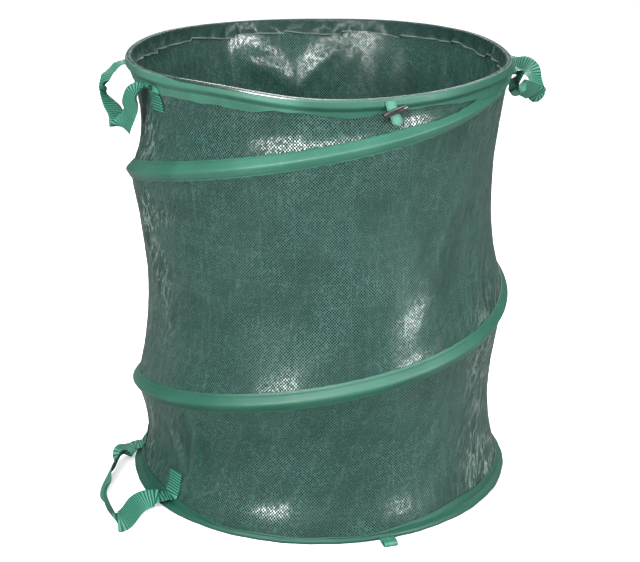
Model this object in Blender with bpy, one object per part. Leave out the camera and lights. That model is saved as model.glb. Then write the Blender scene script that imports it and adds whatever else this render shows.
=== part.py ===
"""Pop-up leaf bag: a two-turn spring coil sewn round a soft necked wall, with a wire-stiffened
rim and base, three webbing handles, two toggles and two closure loops. Metres, +Z up."""
import math
import bpy
from mathutils import Vector

# Ring frame: azimuth 0 is the front (-Y), growing towards +X
columns = 48
rim_radius = 0.2300
rim_height = 0.5339
rim_tilt_front = -0.0063
rim_tilt_side = -0.0030
rim_wave = 0.0054
rim_wave_shares = (-0.72, -0.54, 0.05, -0.20, 0.37, 0.05, -0.60, -0.55, -0.10, -0.30, 0.15, 0.76)
rim_wave_start_deg = 0.0

# Wires
wire_diameter = 0.0040
wire_sides = 6
fit_gap = 0.0003
fit_slack = 0.0001
rim_wire_inset = 0.0039
rim_wire_radius = rim_radius - rim_wire_inset
rim_wire_drop = 0.0035
base_outer_radius = 0.2406
base_wire_inset = 0.0033
base_wire_radius = base_outer_radius - base_wire_inset
base_wire_height = 0.0033
ferrule_length_deg = 15.0
ferrule_bore_gap = 0.00005
ferrule_wall = 0.0002

# Wall
wall_thickness = 0.0010
wall_top_drop = 0.0057
wall_top_inset = 0.0040
wall_top_radius = rim_radius - wall_top_inset
wall_floor_inset = 0.0056
wall_floor_radius = base_outer_radius - wall_floor_inset
wall_rows = 5
neck_depth = 0.0195
neck_gap_scale = 0.110

# Coil
coil_turns = 2
coil_drop_shares = (0.0, 0.118, 0.253, 0.402, 0.541, 0.649, 0.772, 0.880, 1.0)
coil_top_step = 0.0025
coil_hoop_top_radius = wall_top_radius + coil_top_step
coil_floor_step = 0.0005
coil_hoop_bottom_radius = wall_floor_radius - coil_floor_step
coil_blend_height = 0.030
crease_reach = 0.012
sleeve_width = 0.0230
sleeve_thickness = 0.0010
sleeve_least_width = 0.0050
bulge_foot = 0.0039
crowded_gap = 0.080
bulge_inner_shares = ((-1.50, None), (-1.0, 0.75), (0.0, 1.30), (1.0, 0.75), (1.50, None))
bulge_outer_shares = ((-1.88, None), (-1.38, 1.15), (0.0, 1.80), (1.38, 1.15), (1.88, None))

# Rim and base bindings
tape_thickness = 0.0010
binding_height = 0.0250
hem_thickness = 0.0008
rim_bulge_height = 0.0065
rim_step_height = 0.0030
base_binding_height = 0.0180
base_leg_shares = (0.0, 0.21, 0.42)
base_leg_radius = wall_floor_radius + fit_gap
panel_inset = 0.0021
panel_radius = wall_floor_radius - panel_inset
panel_thickness = 0.0010

# Webbing handles
webbing_width = 0.0250
webbing_thickness = 0.0013
webbing_samples = 4
hinge_setback = 0.00042
hinge_taper = 0.4
handle_out = 0.0520
handle_half_span = 0.0780
handle_drop = 0.0530
upper_handle_drop = 0.0259
upper_handle_height = rim_height - upper_handle_drop
left_handle_azimuth_deg = -76.0
right_handle_azimuth_deg = 106.0
lower_handle_azimuth_deg = -71.5
handle_half_angle_deg = 19.5
patch_length = 0.0200
lower_patch_length = 0.0270
patch_step = 0.0070
upper_arch = 0.0022
lower_arch = 0.0006
edge_split = 0.25

# Toggles and closure loops
toggle_azimuths_deg = {"front": 20.0, "back": 189.0}
toggle_length = 0.0290
toggle_diameter = 0.0066
toggle_end_diameter = 0.0042
toggle_drop = 0.0147
toggle_tilt_deg = 16.6
toggle_tape_width = 0.0120
toggle_tape_thickness = 0.0008
toggle_tape_length = 0.0262
toggle_tape_step = 0.0012
toggle_tape_radius = rim_radius + toggle_tape_step
toggle_tape_top_drop = 0.0035
closure_azimuths_deg = {"front": 18.5, "back": 188.0}
closure_width = 0.0165
closure_reach = 0.0175
closure_half_height = 0.0033
closure_root_half = 0.00055
closure_root_reach = 0.0011
closure_axis_step = 0.0018
closure_axis_radius = base_outer_radius + closure_axis_step
closure_axis_height = 0.0037

# Handle routes: outward, along the chord and upward, as shares of handle_out, handle_half_span
# and handle_drop; width directions in the same three axes
left_loop_shares = (
    (-0.058, -0.987, 0.155), (0.060, -0.945, 0.120), (0.206, -0.874, 0.038), (0.329, -0.790, -0.053),
    (0.437, -0.703, -0.255), (0.429, -0.622, -0.372), (0.435, -0.583, -0.421), (0.313, -0.391, -0.649),
    (0.229, -0.178, -0.860), (0.213, 0.074, -0.994), (0.092, 0.333, -0.685), (0.071, 0.468, -0.417),
    (0.025, 0.649, -0.109), (-0.110, 0.791, 0.068))
left_width_shares = (
    (-0.20, -0.98, 0.06), (0.0, -1.0, 0.02), (0.23, -0.97, -0.10), (0.34, -0.94, -0.06),
    (0.27, -0.95, -0.17), (-0.22, -0.96, -0.20), (-0.40, -0.88, -0.23), (-0.83, -0.55, -0.09),
    (-0.82, -0.57, -0.07), (-0.71, 0.69, -0.14), (-0.34, 0.94, -0.08), (-0.48, 0.86, 0.16),
    (-0.45, 0.89, -0.09), (-0.34, 0.93, -0.12))
right_loop_shares = (
    (-0.096, 0.974, 0.075), (0.192, 0.846, -0.038), (0.519, 0.615, -0.170), (0.752, 0.412, -0.230),
    (0.896, 0.250, -0.194), (0.962, 0.064, -0.268), (0.992, -0.101, -0.470), (0.956, -0.255, -0.621),
    (0.865, -0.385, -0.698), (0.667, -0.494, -0.596), (0.385, -0.626, -0.470), (0.092, -0.769, -0.377),
    (-0.020, -0.900, -0.170), (-0.058, -0.974, 0.105))
right_width_shares = (
    (-0.33, 0.94, 0.0), (-0.10, 0.85, 0.50), (0.12, 0.70, 0.70), (0.23, 0.63, 0.74),
    (0.27, 0.62, 0.74), (0.45, 0.64, 0.62), (0.67, 0.71, 0.21), (0.70, 0.71, 0.02),
    (0.30, 0.86, -0.40), (0.35, 0.63, -0.70), (0.34, 0.68, -0.65), (0.35, 0.62, -0.71),
    (0.30, 0.86, -0.35), (0.33, 0.94, 0.0))
lower_loop_shares = (
    (-0.150, -1.000, 0.245), (0.115, -0.846, 0.245), (0.404, -0.500, 0.240), (0.742, -0.090, 0.232),
    (0.925, 0.365, 0.225), (0.994, 0.709, 0.250), (1.023, 1.163, 0.235), (0.983, 1.490, 0.225),
    (0.762, 1.421, 0.225), (0.440, 1.091, 0.225), (0.198, 0.960, 0.232), (-0.030, 0.950, 0.245),
    (-0.150, 0.985, 0.270))
lower_width_shares = (
    (-0.33, -0.94, 0.0), (-0.25, -0.90, 0.20), (-0.02, -0.60, -0.75), (0.38, -0.25, -0.85),
    (0.56, -0.19, -0.80), (-0.28, 0.10, -0.95), (-0.57, 0.19, -0.80), (-0.45, 0.38, -0.80),
    (-0.42, 0.46, -0.78), (-0.48, 0.50, -0.72), (-0.48, 0.60, -0.65), (-0.45, 0.80, -0.35),
    (-0.33, 0.94, 0.0))


def clear_scene():
    for item in list(bpy.data.objects):
        bpy.data.objects.remove(item, do_unlink=True)


def make_material(name, colour, roughness, metallic=0.0):
    mat = bpy.data.materials.new(name)
    mat.use_nodes = True
    shader = mat.node_tree.nodes["Principled BSDF"]
    shader.inputs["Base Color"].default_value = (*colour, 1.0)
    shader.inputs["Roughness"].default_value = roughness
    shader.inputs["Metallic"].default_value = metallic
    return mat


def wall_cloth():
    return make_material("woven_pe_green", (0.060, 0.135, 0.105), 0.55)


def hem_cloth():
    return make_material("hem_pe_green", (0.020, 0.055, 0.045), 0.60)


def panel_cloth():
    return make_material("base_pe_green", (0.040, 0.100, 0.080), 0.60)


def binding_tape():
    return make_material("binding_green", (0.085, 0.330, 0.215), 0.50)


def sleeve_tape():
    return make_material("sleeve_green", (0.080, 0.310, 0.205), 0.50)


def handle_webbing():
    return make_material("webbing_green", (0.030, 0.220, 0.130), 0.60)


def loop_tape():
    return make_material("loop_tape_green", (0.070, 0.290, 0.190), 0.55)


def spring_wire():
    return make_material("spring_steel", (0.45, 0.46, 0.48), 0.30, 1.0)


def ferrule_metal():
    return make_material("ferrule_steel", (0.55, 0.56, 0.58), 0.25, 1.0)


def toggle_plastic():
    return make_material("toggle_black", (0.030, 0.022, 0.020), 0.30)


def make_object(name, verts, faces, material, origin=None):
    """One closed body; origin moves the object's own origin without moving its mesh."""
    mesh = bpy.data.meshes.new(name)
    shift = Vector(origin) if origin is not None else Vector((0.0, 0.0, 0.0))
    mesh.from_pydata([tuple(Vector(v) - shift) for v in verts], [], faces)
    mesh.validate()
    obj = bpy.data.objects.new(name, mesh)
    obj.location = shift
    bpy.context.scene.collection.objects.link(obj)
    mesh.materials.append(material)
    fix_normals(mesh)
    for face in mesh.polygons:
        face.use_smooth = True
    return obj


def fix_normals(mesh):
    import bmesh
    work = bmesh.new()
    work.from_mesh(mesh)
    bmesh.ops.remove_doubles(work, verts=work.verts, dist=0.00001)
    bmesh.ops.recalc_face_normals(work, faces=work.faces)
    work.to_mesh(mesh)
    work.free()


def smooth(x):
    x = min(max(x, 0.0), 1.0)
    return x * x * (3.0 - 2.0 * x)


def catmull(points, position):
    """Value of a smooth curve through a list of tuples at a fractional index."""
    last = len(points) - 1
    index = min(int(position), last - 1)
    f = position - index
    p1, p2 = points[index], points[index + 1]
    p0 = points[index - 1] if index > 0 else tuple(2.0 * a - b for a, b in zip(p1, p2))
    p3 = points[index + 2] if index + 2 <= last else tuple(2.0 * b - a for a, b in zip(p1, p2))
    return tuple(0.5 * (2.0 * b + (c - a) * f + (2.0 * a - 5.0 * b + 4.0 * c - d) * f * f
                        + (3.0 * b - a - 3.0 * c + d) * f * f * f)
                 for a, b, c, d in zip(p0, p1, p2, p3))


def turn_angle(column):
    """Angle along the coil: 0 at +X, growing clockwise seen from above, past the front."""
    return 2.0 * math.pi * column / columns


def ring_point(turn, radius, height):
    return (radius * math.cos(turn), -radius * math.sin(turn), height)


def azimuth_turn(azimuth_deg):
    return math.radians(90.0 - azimuth_deg)


def rim_top(turn):
    azimuth = math.pi / 2.0 - turn
    knots = len(rim_wave_shares)
    place = (math.degrees(azimuth) - rim_wave_start_deg) / (360.0 / knots) % knots
    wrapped = [(rim_wave_shares[i % knots],) for i in range(-1, knots + 2)]
    wave = rim_wave * catmull(wrapped, place + 1.0)[0]
    return rim_height + rim_tilt_front * math.cos(azimuth) + rim_tilt_side * math.sin(azimuth) + wave


def wall_top(turn):
    return rim_top(turn) - wall_top_drop


def coil_height(turn):
    quarter = turn / (math.pi / 2.0)
    share = catmull([(s,) for s in coil_drop_shares], min(quarter, 4.0 * coil_turns))[0]
    return wall_top(0.0) * (1.0 - share)


def hoop_radius(height):
    top = wall_top(0.0)
    line = coil_hoop_bottom_radius + (coil_hoop_top_radius - coil_hoop_bottom_radius) * height / top
    near_top = smooth(1.0 - (top - height) / coil_blend_height)
    near_floor = smooth(1.0 - height / coil_blend_height)
    line += near_top * (wall_top_radius - coil_hoop_top_radius)
    return line + near_floor * (wall_floor_radius - coil_hoop_bottom_radius)


def strip_nodes(column):
    """Outer wall points of one column of the helical strip, from its upper to its lower edge."""
    turn = turn_angle(column)
    full = 2.0 * math.pi
    if column <= columns:
        upper = (wall_top_radius, wall_top(turn))
    else:
        upper = (hoop_radius(coil_height(turn - full)), coil_height(turn - full))
    if column <= columns * coil_turns:
        lower = (hoop_radius(coil_height(turn)), coil_height(turn))
    else:
        lower = (wall_floor_radius, 0.0)
    gap = upper[1] - lower[1]
    depth = neck_depth * (1.0 - math.exp(-max(gap, 0.0) / neck_gap_scale))
    nodes = []
    for row in range(wall_rows + 1):
        share = row / wall_rows
        bow = 1.0 - (2.0 * share - 1.0) ** 2
        nodes.append((upper[0] + (lower[0] - upper[0]) * share - depth * bow, upper[1] - gap * share))
    return nodes


def column_profile(column):
    """All wall points of a column, floor to rim, as rising (height, outer radius) pairs."""
    base = column % columns
    found = {}
    for lap in range(coil_turns + 2):
        if base + lap * columns <= columns * (coil_turns + 1):
            for radius, height in strip_nodes(base + lap * columns):
                found[round(height, 6)] = radius
    return sorted(found.items())


profiles = {}


def wall_radius_at_column(column, height):
    base = column % columns
    if base not in profiles:
        profiles[base] = column_profile(base)
    table = profiles[base]
    if height <= table[0][0]:
        return table[0][1]
    for (z0, r0), (z1, r1) in zip(table, table[1:]):
        if height <= z1:
            return r0 + (r1 - r0) * (height - z0) / max(z1 - z0, 1e-9)
    return table[-1][1]


def wall_radius(turn, height, spread=0):
    """Largest wall radius near an angle, so that what lies on the wall keeps clear of it."""
    place = turn / (2.0 * math.pi) * columns
    low = math.floor(place) - spread
    return max(wall_radius_at_column(c, height) for c in range(low, low + 2 + 2 * spread))


def crease_near(column, height):
    """True where the coil crosses the wall close to a height, so the wall is kinked there."""
    base = column % columns
    laps = [coil_height(turn_angle(base + lap * columns)) for lap in range(coil_turns + 1)
            if base + lap * columns <= columns * coil_turns]
    return any(abs(z - height) < crease_reach for z in laps)


def wall_bound(column, height, pick):
    """Wall radius under a horizontal band: exact, or the extreme round a coil crease."""
    if not crease_near(column, height):
        return wall_radius_at_column(column, height)
    spans = [height + crease_reach * k / 4.0 for k in range(-2, 3)]
    return pick(wall_radius_at_column(c, max(z, 0.0)) for c in (column - 1, column, column + 1) for z in spans)


def ring_solid(name, profile, material):
    """Closed ring: profile(column) gives the closed section as (radius, height) points."""
    sections = [profile(c) for c in range(columns)]
    count = len(sections[0])
    verts = [ring_point(turn_angle(c), r, z) for c in range(columns) for r, z in sections[c]]
    faces = [(c * count + k, c * count + (k + 1) % count,
              ((c + 1) % columns) * count + (k + 1) % count, ((c + 1) % columns) * count + k)
             for c in range(columns) for k in range(count)]
    return make_object(name, verts, faces, material)


def sweep_solid(name, sections, material, origin=None):
    """Closed open-ended sweep through sections that have equally many points."""
    count = len(sections[0])
    verts = [p for section in sections for p in section]
    faces = [(s * count + k, s * count + (k + 1) % count, (s + 1) * count + (k + 1) % count,
              (s + 1) * count + k) for s in range(len(sections) - 1) for k in range(count)]
    faces.append(tuple(range(count)))
    faces.append(tuple(range((len(sections) - 1) * count, len(sections) * count)))
    return make_object(name, verts, faces, material, origin)


def wire_section(radius, height, diameter=wire_diameter):
    half = diameter / 2.0
    return [(radius + half * math.cos(2.0 * math.pi * k / wire_sides),
             height + half * math.sin(2.0 * math.pi * k / wire_sides)) for k in range(wire_sides)]


def closed_wire(name, radius, height_of, material):
    return ring_solid(name, lambda c: wire_section(radius, height_of(turn_angle(c))), material)


def ferrule(name, radius, height_of, middle, material):
    """Thin crimped tube over the wire's joint: an open-bored ring section with flat ends."""
    span = max(int(round(ferrule_length_deg / 360.0 * columns)), 1)
    inner = wire_diameter + 2.0 * ferrule_bore_gap
    outer = inner + 2.0 * ferrule_wall
    rings = []
    for size in (outer, inner):
        rings.append([[ring_point(turn_angle(c), r, z) for r, z in
                       wire_section(radius, height_of(turn_angle(c)), size)]
                      for c in range(middle, middle + span + 1)])
    count, length = wire_sides, span + 1
    verts = [p for ring in rings for section in ring for p in section]
    faces = []
    for ring in range(2):
        start = ring * length * count
        for s in range(span):
            for k in range(count):
                a, b = start + s * count + k, start + s * count + (k + 1) % count
                faces.append((a, b, b + count, a + count))
    for end in (0, span):
        for k in range(count):
            a, b = end * count + k, end * count + (k + 1) % count
            faces.append((a, b, b + length * count, a + length * count))
    return make_object(name, verts, faces, material)


def rim_wire_height(turn):
    return rim_top(turn) - rim_wire_drop


def base_wire_level(turn):
    return base_wire_height


def side_wall(material):
    """The soft wall: one helical strip between rim, coil and floor, necked between its hoops."""
    total = columns * (coil_turns + 1)
    verts, faces = [], []
    per = wall_rows + 1
    strips = [strip_nodes(c) for c in range(total + 1)]
    for inward in (0.0, wall_thickness):
        for c in range(total + 1):
            for radius, height in strips[c]:
                verts.append(ring_point(turn_angle(c), radius - inward, height))
    layer = (total + 1) * per
    for side in (0, layer):
        for c in range(total):
            for k in range(wall_rows):
                a = side + c * per + k
                faces.append((a, a + 1, a + per + 1, a + per))
    for c in range(columns):
        a = c * per
        faces.append((a, a + per, a + per + layer, a + layer))
    for c in range(columns * coil_turns, total):
        a = c * per + wall_rows
        faces.append((a, a + per, a + per + layer, a + layer))
    return make_object("side_wall", verts, faces, material)


def sleeve_limits(column):
    """Lower and upper edge of the sleeve at a column, kept clear of the two bindings."""
    turn = turn_angle(column)
    middle = coil_height(turn)
    upper = min(middle + sleeve_width / 2.0, rim_top(turn) - binding_height - fit_gap)
    lower = max(middle - sleeve_width / 2.0, base_binding_height + fit_gap)
    return lower, upper


def wire_fits(column):
    lower, upper = sleeve_limits(column)
    middle = coil_height(turn_angle(column))
    room = bulge_foot + fit_gap
    return upper - middle >= room and middle - lower >= room


def coil_wire(material):
    cols = [c for c in range(columns * coil_turns + 1) if wire_fits(c)][1:-1]
    sections = []
    for c in cols:
        turn = turn_angle(c)
        height = coil_height(turn)
        radius = hoop_radius(height) + fit_gap + wire_diameter / 2.0
        sections.append([ring_point(turn, r, z) for r, z in wire_section(radius, height)])
    return sweep_solid("coil_wire", sections, material)


def sleeve_section(column):
    """Hat-shaped section: flanges on the wall and a bulge round the wire."""
    turn = turn_angle(column)
    lower, upper = sleeve_limits(column)
    middle = coil_height(turn)
    crest = hoop_radius(middle) + fit_gap + wire_diameter / 2.0
    bulged = wire_fits(column)
    crowded = min(wall_top(turn) - middle, middle) < crowded_gap
    layer = fit_gap + fit_slack + (2.0 * fit_gap if crowded else 0.0)
    faces = []
    for shares, thickness in ((bulge_inner_shares, 0.0), (bulge_outer_shares, sleeve_thickness)):
        side = []
        heights = [lower] + [middle + z * wire_diameter / 2.0 for z, lift in shares] + [upper]
        lifts = [None] + [lift for z, lift in shares] + [None]
        for z, lift in zip(heights, lifts):
            z = min(max(z, lower), upper)
            under = wall_radius_at_column(column, z) if bulged else wall_bound(column, z, max)
            side.append((under + layer + thickness if lift is None or not bulged
                         else crest + lift * wire_diameter / 2.0, z))
        faces.append(side)
    inner, outer = faces
    return [ring_point(turn, r, z) for r, z in inner + outer[::-1]]


def coil_sleeve(material):
    cols = []
    for c in range(columns * coil_turns + 1):
        lower, upper = sleeve_limits(c)
        if upper - lower >= sleeve_least_width:
            cols.append(c)
    return sweep_solid("coil_sleeve", [sleeve_section(c) for c in cols], material)


def rim_hem(material):
    """Folded wall cloth over the rim wire, its long leg lying against the wall's inside."""
    half = wire_diameter / 2.0 + fit_gap

    def profile(c):
        turn = turn_angle(c)
        top = rim_top(turn)
        low = top - binding_height
        steps = [low + (top - low - rim_bulge_height) * k / 4.0 for k in range(5)]
        inner_leg = [(min(rim_wire_radius - half, wall_bound(c, z, min) - wall_thickness
                          - 2.0 * fit_gap - fit_slack), z) for z in steps]
        outside = [(r, z) for r, z in inner_leg]
        inside = [(r - hem_thickness, z) for r, z in inner_leg]
        axis = top - rim_wire_drop
        far = half + hem_thickness
        arch = [(rim_wire_radius - half, axis + 0.75 * half), (rim_wire_radius, axis + 1.18 * half),
                (rim_wire_radius + half, axis + 0.75 * half), (rim_wire_radius + half, axis - half)]
        over = [(rim_wire_radius + far, axis - half), (rim_wire_radius + far, axis + 0.7 * far),
                (rim_wire_radius, axis + 1.13 * far), (rim_wire_radius - far, axis + 0.7 * far)]
        return outside + arch + over + inside[::-1]

    return ring_solid("rim_hem", profile, material)


def rim_binding(material):
    """Flat tape round the outside of the rim, bulged by the wire and lying on the wall below."""
    bulge = rim_wire_radius + wire_diameter / 2.0 + fit_gap + hem_thickness + fit_gap

    def profile(c):
        turn = turn_angle(c)
        top = rim_top(turn)
        low = top - binding_height
        foot = top - rim_bulge_height - rim_step_height
        steps = [low + (foot - low) * k / 2.0 for k in range(3)]
        leg = [(wall_bound(c, z, max) + fit_gap + fit_slack, z) for z in steps]
        face = leg + [(bulge, top - rim_bulge_height), (bulge, top - 0.5 * tape_thickness)]
        back = [(r + tape_thickness, z) for r, z in face]
        return face + back[::-1]

    return ring_solid("rim_binding", profile, material)


def base_binding(material):
    """Tape folded round the base wire: a floor leg, the wire's bulge and a leg up the wall."""
    def profile(c):
        steps = [base_binding_height * (1.0 - share) for share in base_leg_shares]
        leg = [(wall_bound(c, z, max) + fit_gap + fit_slack, z) for z in steps]
        inner = base_outer_radius - tape_thickness
        crown = base_wire_height + wire_diameter / 2.0 + 2.0 * fit_gap
        face = leg + [(wall_floor_radius + fit_gap + fit_slack, crown + 3.0 * fit_gap),
                      (inner - 4.0 * fit_gap, crown + 1.5 * fit_gap), (inner, crown - 4.0 * fit_gap),
                      (inner, panel_thickness), (base_leg_radius, panel_thickness)]
        back = [(base_leg_radius, 0.0), (base_outer_radius, 0.0), (base_outer_radius, crown - 2.0 * fit_gap),
                (base_outer_radius - 6.0 * fit_gap, crown + 5.0 * fit_gap)]
        back += [(r + tape_thickness, z) for r, z in leg[::-1]]
        return face + back

    return ring_solid("base_binding", profile, material)


def base_panel(material):
    """Flat floor of the bag, a disc with one ring of cells and a centre."""
    rings = (0.5, 1.0)
    verts, faces = [], []
    for height in (0.0, panel_thickness):
        verts.append((0.0, 0.0, height))
        for share in rings:
            for c in range(columns):
                verts.append(ring_point(turn_angle(c), panel_radius * share, height))
    layer = 1 + len(rings) * columns
    for side in (0, layer):
        for c in range(columns):
            d = (c + 1) % columns
            faces.append((side, side + 1 + c, side + 1 + d))
            faces.append((side + 1 + c, side + 1 + columns + c, side + 1 + columns + d, side + 1 + d))
    for c in range(columns):
        d = (c + 1) % columns
        a = 1 + columns
        faces.append((a + c, a + d, a + d + layer, a + c + layer))
    return make_object("base_panel", verts, faces, material)


def local_axes(azimuth_deg):
    azimuth = math.radians(azimuth_deg)
    return (Vector((math.sin(azimuth), -math.cos(azimuth), 0.0)),
            Vector((math.cos(azimuth), math.sin(azimuth), 0.0)), Vector((0.0, 0.0, 1.0)))


def route(azimuth_deg, radius, height, loop_shares, width_shares):
    """Turn share tables into world stations of a webbing strip: (centre, width direction)."""
    out, along, up = local_axes(azimuth_deg)
    origin = out * radius + up * height
    stations = []
    for (a, b, c), (wa, wb, wc) in zip(loop_shares, width_shares):
        centre = origin + out * a * handle_out + along * b * handle_half_span + up * c * handle_drop
        stations.append((centre, (out * wa + along * wb + up * wc).normalized()))
    hinge = (stations[0][0] - stations[-1][0]).normalized()
    for place in (0, -1):
        centre, across = stations[place]
        stations[place] = (centre, hinge if across.dot(hinge) > 0.0 else -hinge)
    return stations


def webbing(name, stations, material, origin=None, width=webbing_width, thickness=webbing_thickness,
            samples=webbing_samples, trim=(0.0, 0.0)):
    """Strip of webbing through its stations, shortened by trim at either end."""
    flat = [tuple(centre) + tuple(direction) for centre, direction in stations]
    rows = [catmull(flat, k / samples) for k in range((len(flat) - 1) * samples + 1)]
    centres = [Vector(row[:3]) for row in rows]
    widths = [Vector(row[3:]).normalized() for row in rows]
    if trim[0]:
        centres[0] = centres[0] + (centres[1] - centres[0]).normalized() * trim[0]
    if trim[1]:
        centres[-1] = centres[-1] + (centres[-2] - centres[-1]).normalized() * trim[1]
    sections = []
    for k, (centre, across) in enumerate(zip(centres, widths)):
        ahead = centres[min(k + 1, len(centres) - 1)] - centres[max(k - 1, 0)]
        normal = ahead.cross(across).normalized()
        thin = (trim[0] and k == 0) or (trim[1] and k == len(centres) - 1)
        side, face = across * width / 2.0, normal * thickness / 2.0 * (hinge_taper if thin else 1.0)
        sections.append([tuple(centre + side + face), tuple(centre + side - face),
                         tuple(centre - side - face), tuple(centre - side + face)])
    return sweep_solid(name, sections, material, origin)


def sewn_end(name, azimuth_deg, loop_end, rising, patch, material):
    """Sewn tail of a handle: a patch on the wall and the bend from it to the hinge line."""
    turn = azimuth_turn(azimuth_deg)
    out, along, up = local_axes(azimuth_deg)
    across = along if loop_end[1].dot(along) > 0.0 else -along
    layers = fit_gap + webbing_thickness / 2.0
    stations = []
    near = int(round(turn / (2.0 * math.pi) * columns))
    for height, lift in patch:
        under = wall_radius(turn, height)
        if lift > 0.0:
            under = max(wall_bound(c, height, max) for c in (near - 1, near, near + 1))
        stations.append((out * (under + lift + layers) + up * height, across))
    last = stations[-1][0]
    stations.append(((last + loop_end[0]) / 2.0 + up * (upper_arch if loop_end[0].z > edge_split else lower_arch),
                     ((across + loop_end[1].normalized()) / 2.0).normalized()))
    stations.append(loop_end)
    obj = webbing(name, stations if rising else stations[::-1], material,
                  trim=(0.0, hinge_setback) if rising else (hinge_setback, 0.0), samples=3)
    return obj


def upper_patch(turn):
    low = upper_handle_height - patch_length
    edge = rim_top(turn) - binding_height
    return ((low, 0.0), (edge - patch_step, 0.0), (edge - 0.3 * patch_step, 1.5 * tape_thickness),
            (edge + 0.5 * patch_step, 1.6 * tape_thickness))


def lower_patch():
    top = base_binding_height + lower_patch_length
    edge = base_binding_height
    return ((top, 0.0), (edge + patch_step, 0.0), (edge + 0.3 * patch_step, 1.5 * tape_thickness),
            (edge - 0.3 * patch_step, 2.4 * tape_thickness))


def upper_handle(prefix, azimuth_deg, loop_shares, width_shares, first, last, material):
    """Loop of webbing between its two sewn ends; its origin is on the hinge line."""
    stations = route(azimuth_deg, rim_radius, upper_handle_height, loop_shares, width_shares)
    middle = (stations[0][0] + stations[-1][0]) / 2.0
    webbing(prefix + "_handle", stations, material, origin=middle, trim=(hinge_setback, hinge_setback))
    for end_name, station in ((first, stations[0]), (last, stations[-1])):
        side = -1.0 if end_name == ("back" if prefix == "left" else "front") else 1.0
        azimuth = azimuth_deg + side * handle_half_angle_deg
        sewn_end(prefix + "_handle_" + end_name + "_end", azimuth, station, True,
                 upper_patch(azimuth_turn(azimuth)), material)


def lower_handle(material):
    stations = route(lower_handle_azimuth_deg, base_outer_radius, 0.0, lower_loop_shares,
                     lower_width_shares)
    middle = (stations[0][0] + stations[-1][0]) / 2.0
    webbing("lower_handle", stations, material, origin=middle, trim=(hinge_setback, hinge_setback))
    for end_name, side, station in (("back", -1.0, stations[0]), ("front", 1.0, stations[-1])):
        azimuth = lower_handle_azimuth_deg + side * handle_half_angle_deg
        sewn_end("lower_handle_" + end_name + "_end", azimuth, station, True, lower_patch(), material)


def toggle_place(azimuth_deg):
    turn = azimuth_turn(azimuth_deg)
    out, along, up = local_axes(azimuth_deg)
    top = rim_top(turn) - toggle_tape_top_drop
    return out, along, up, out * toggle_tape_radius + up * top


def toggle_tape(name, azimuth_deg, material):
    """Hanging tape with a rounded lower end; its origin is on its sewn line."""
    out, along, up, hinge = toggle_place(azimuth_deg)
    half_t = toggle_tape_thickness / 2.0
    half_w = toggle_tape_width / 2.0
    outline = [(-half_w, 0.0), (half_w, 0.0)]
    straight = toggle_tape_length - half_w
    for k in range(7):
        angle = math.pi * k / 6.0
        outline.append((half_w * math.cos(angle), -straight - half_w * math.sin(angle)))
    sections = [[tuple(hinge + along * a + up * (b + half_t / 2.0) + out * side) for a, b in outline]
                for side in (-half_t, half_t)]
    return sweep_solid(name, sections, material, tuple(hinge))


def toggle(name, azimuth_deg, material):
    """Tapered barrel with a notch in its back where the tape passes."""
    out, along, up, hinge = toggle_place(azimuth_deg)
    tilt = math.radians(toggle_tilt_deg)
    axis = along * math.cos(tilt) + up * math.sin(tilt)
    side = up * math.cos(tilt) - along * math.sin(tilt)
    centre = hinge - up * (toggle_drop - toggle_tape_top_drop) + out * toggle_diameter * 0.30
    notch = toggle_tape_width / 2.0 + 2.0 * fit_gap + toggle_diameter / 2.0 * math.tan(tilt)
    floor = out.dot(hinge - centre) + toggle_tape_thickness / 2.0 + fit_gap
    shares = (-1.0, -0.97, -0.80, -0.60, -notch / (toggle_length / 2.0) - 0.004,
              -notch / (toggle_length / 2.0), 0.0, notch / (toggle_length / 2.0),
              notch / (toggle_length / 2.0) + 0.004, 0.60, 0.80, 0.97, 1.0)
    sections = []
    for share in shares:
        taper = toggle_end_diameter + (toggle_diameter - toggle_end_diameter) * math.sqrt(1.0 - share ** 2)
        radius = taper / 2.0 if abs(share) < 1.0 else taper / 2.0 * 0.7
        notched = abs(share) * toggle_length / 2.0 <= notch + 1e-6
        section = []
        for k in range(12):
            angle = 2.0 * math.pi * (k + 0.5) / 12.0
            depth = radius * math.cos(angle)
            if notched:
                depth = max(depth, floor)
            section.append(tuple(centre + axis * share * toggle_length / 2.0 + out * depth
                                 + side * radius * math.sin(angle)))
        sections.append(section)
    return sweep_solid(name, sections, material, tuple(hinge))


def closure_loop(name, azimuth_deg, material):
    """Teardrop hairpin of tape lying on the floor; its origin is on its sewn line."""
    out, along, up = local_axes(azimuth_deg)
    hinge = out * closure_axis_radius + up * closure_axis_height
    half_t = tape_thickness / 2.0
    line = [(-closure_root_reach, closure_root_half), (0.004, closure_half_height - half_t * 2.0 + 0.0004),
            (0.008, closure_half_height - half_t)]
    nose = closure_reach - closure_half_height
    for k in range(7):
        angle = math.pi / 2.0 - math.pi * k / 6.0
        line.append((nose + (closure_half_height - half_t) * math.cos(angle),
                     (closure_half_height - half_t) * math.sin(angle)))
    line += [(a, -b) for a, b in line[2::-1]]
    left, right = [], []
    for k, (a, b) in enumerate(line):
        (pa, pb), (na, nb) = line[max(k - 1, 0)], line[min(k + 1, len(line) - 1)]
        run = math.hypot(na - pa, nb - pb)
        ux, uz = -(nb - pb) / run * half_t, (na - pa) / run * half_t
        left.append((a + ux, b + uz))
        right.append((a - ux, b - uz))
    ring = left + right[::-1]
    count = len(line)
    total = len(ring)
    verts = [tuple(hinge + along * w + out * a + up * b)
             for w in (-closure_width / 2.0, closure_width / 2.0) for a, b in ring]
    faces = [(k, (k + 1) % total, (k + 1) % total + total, k + total) for k in range(total)]
    for side in (0, total):
        for k in range(count - 1):
            faces.append((side + k, side + k + 1, side + total - 2 - k, side + total - 1 - k))
    return make_object(name, verts, faces, material, tuple(hinge))


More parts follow.
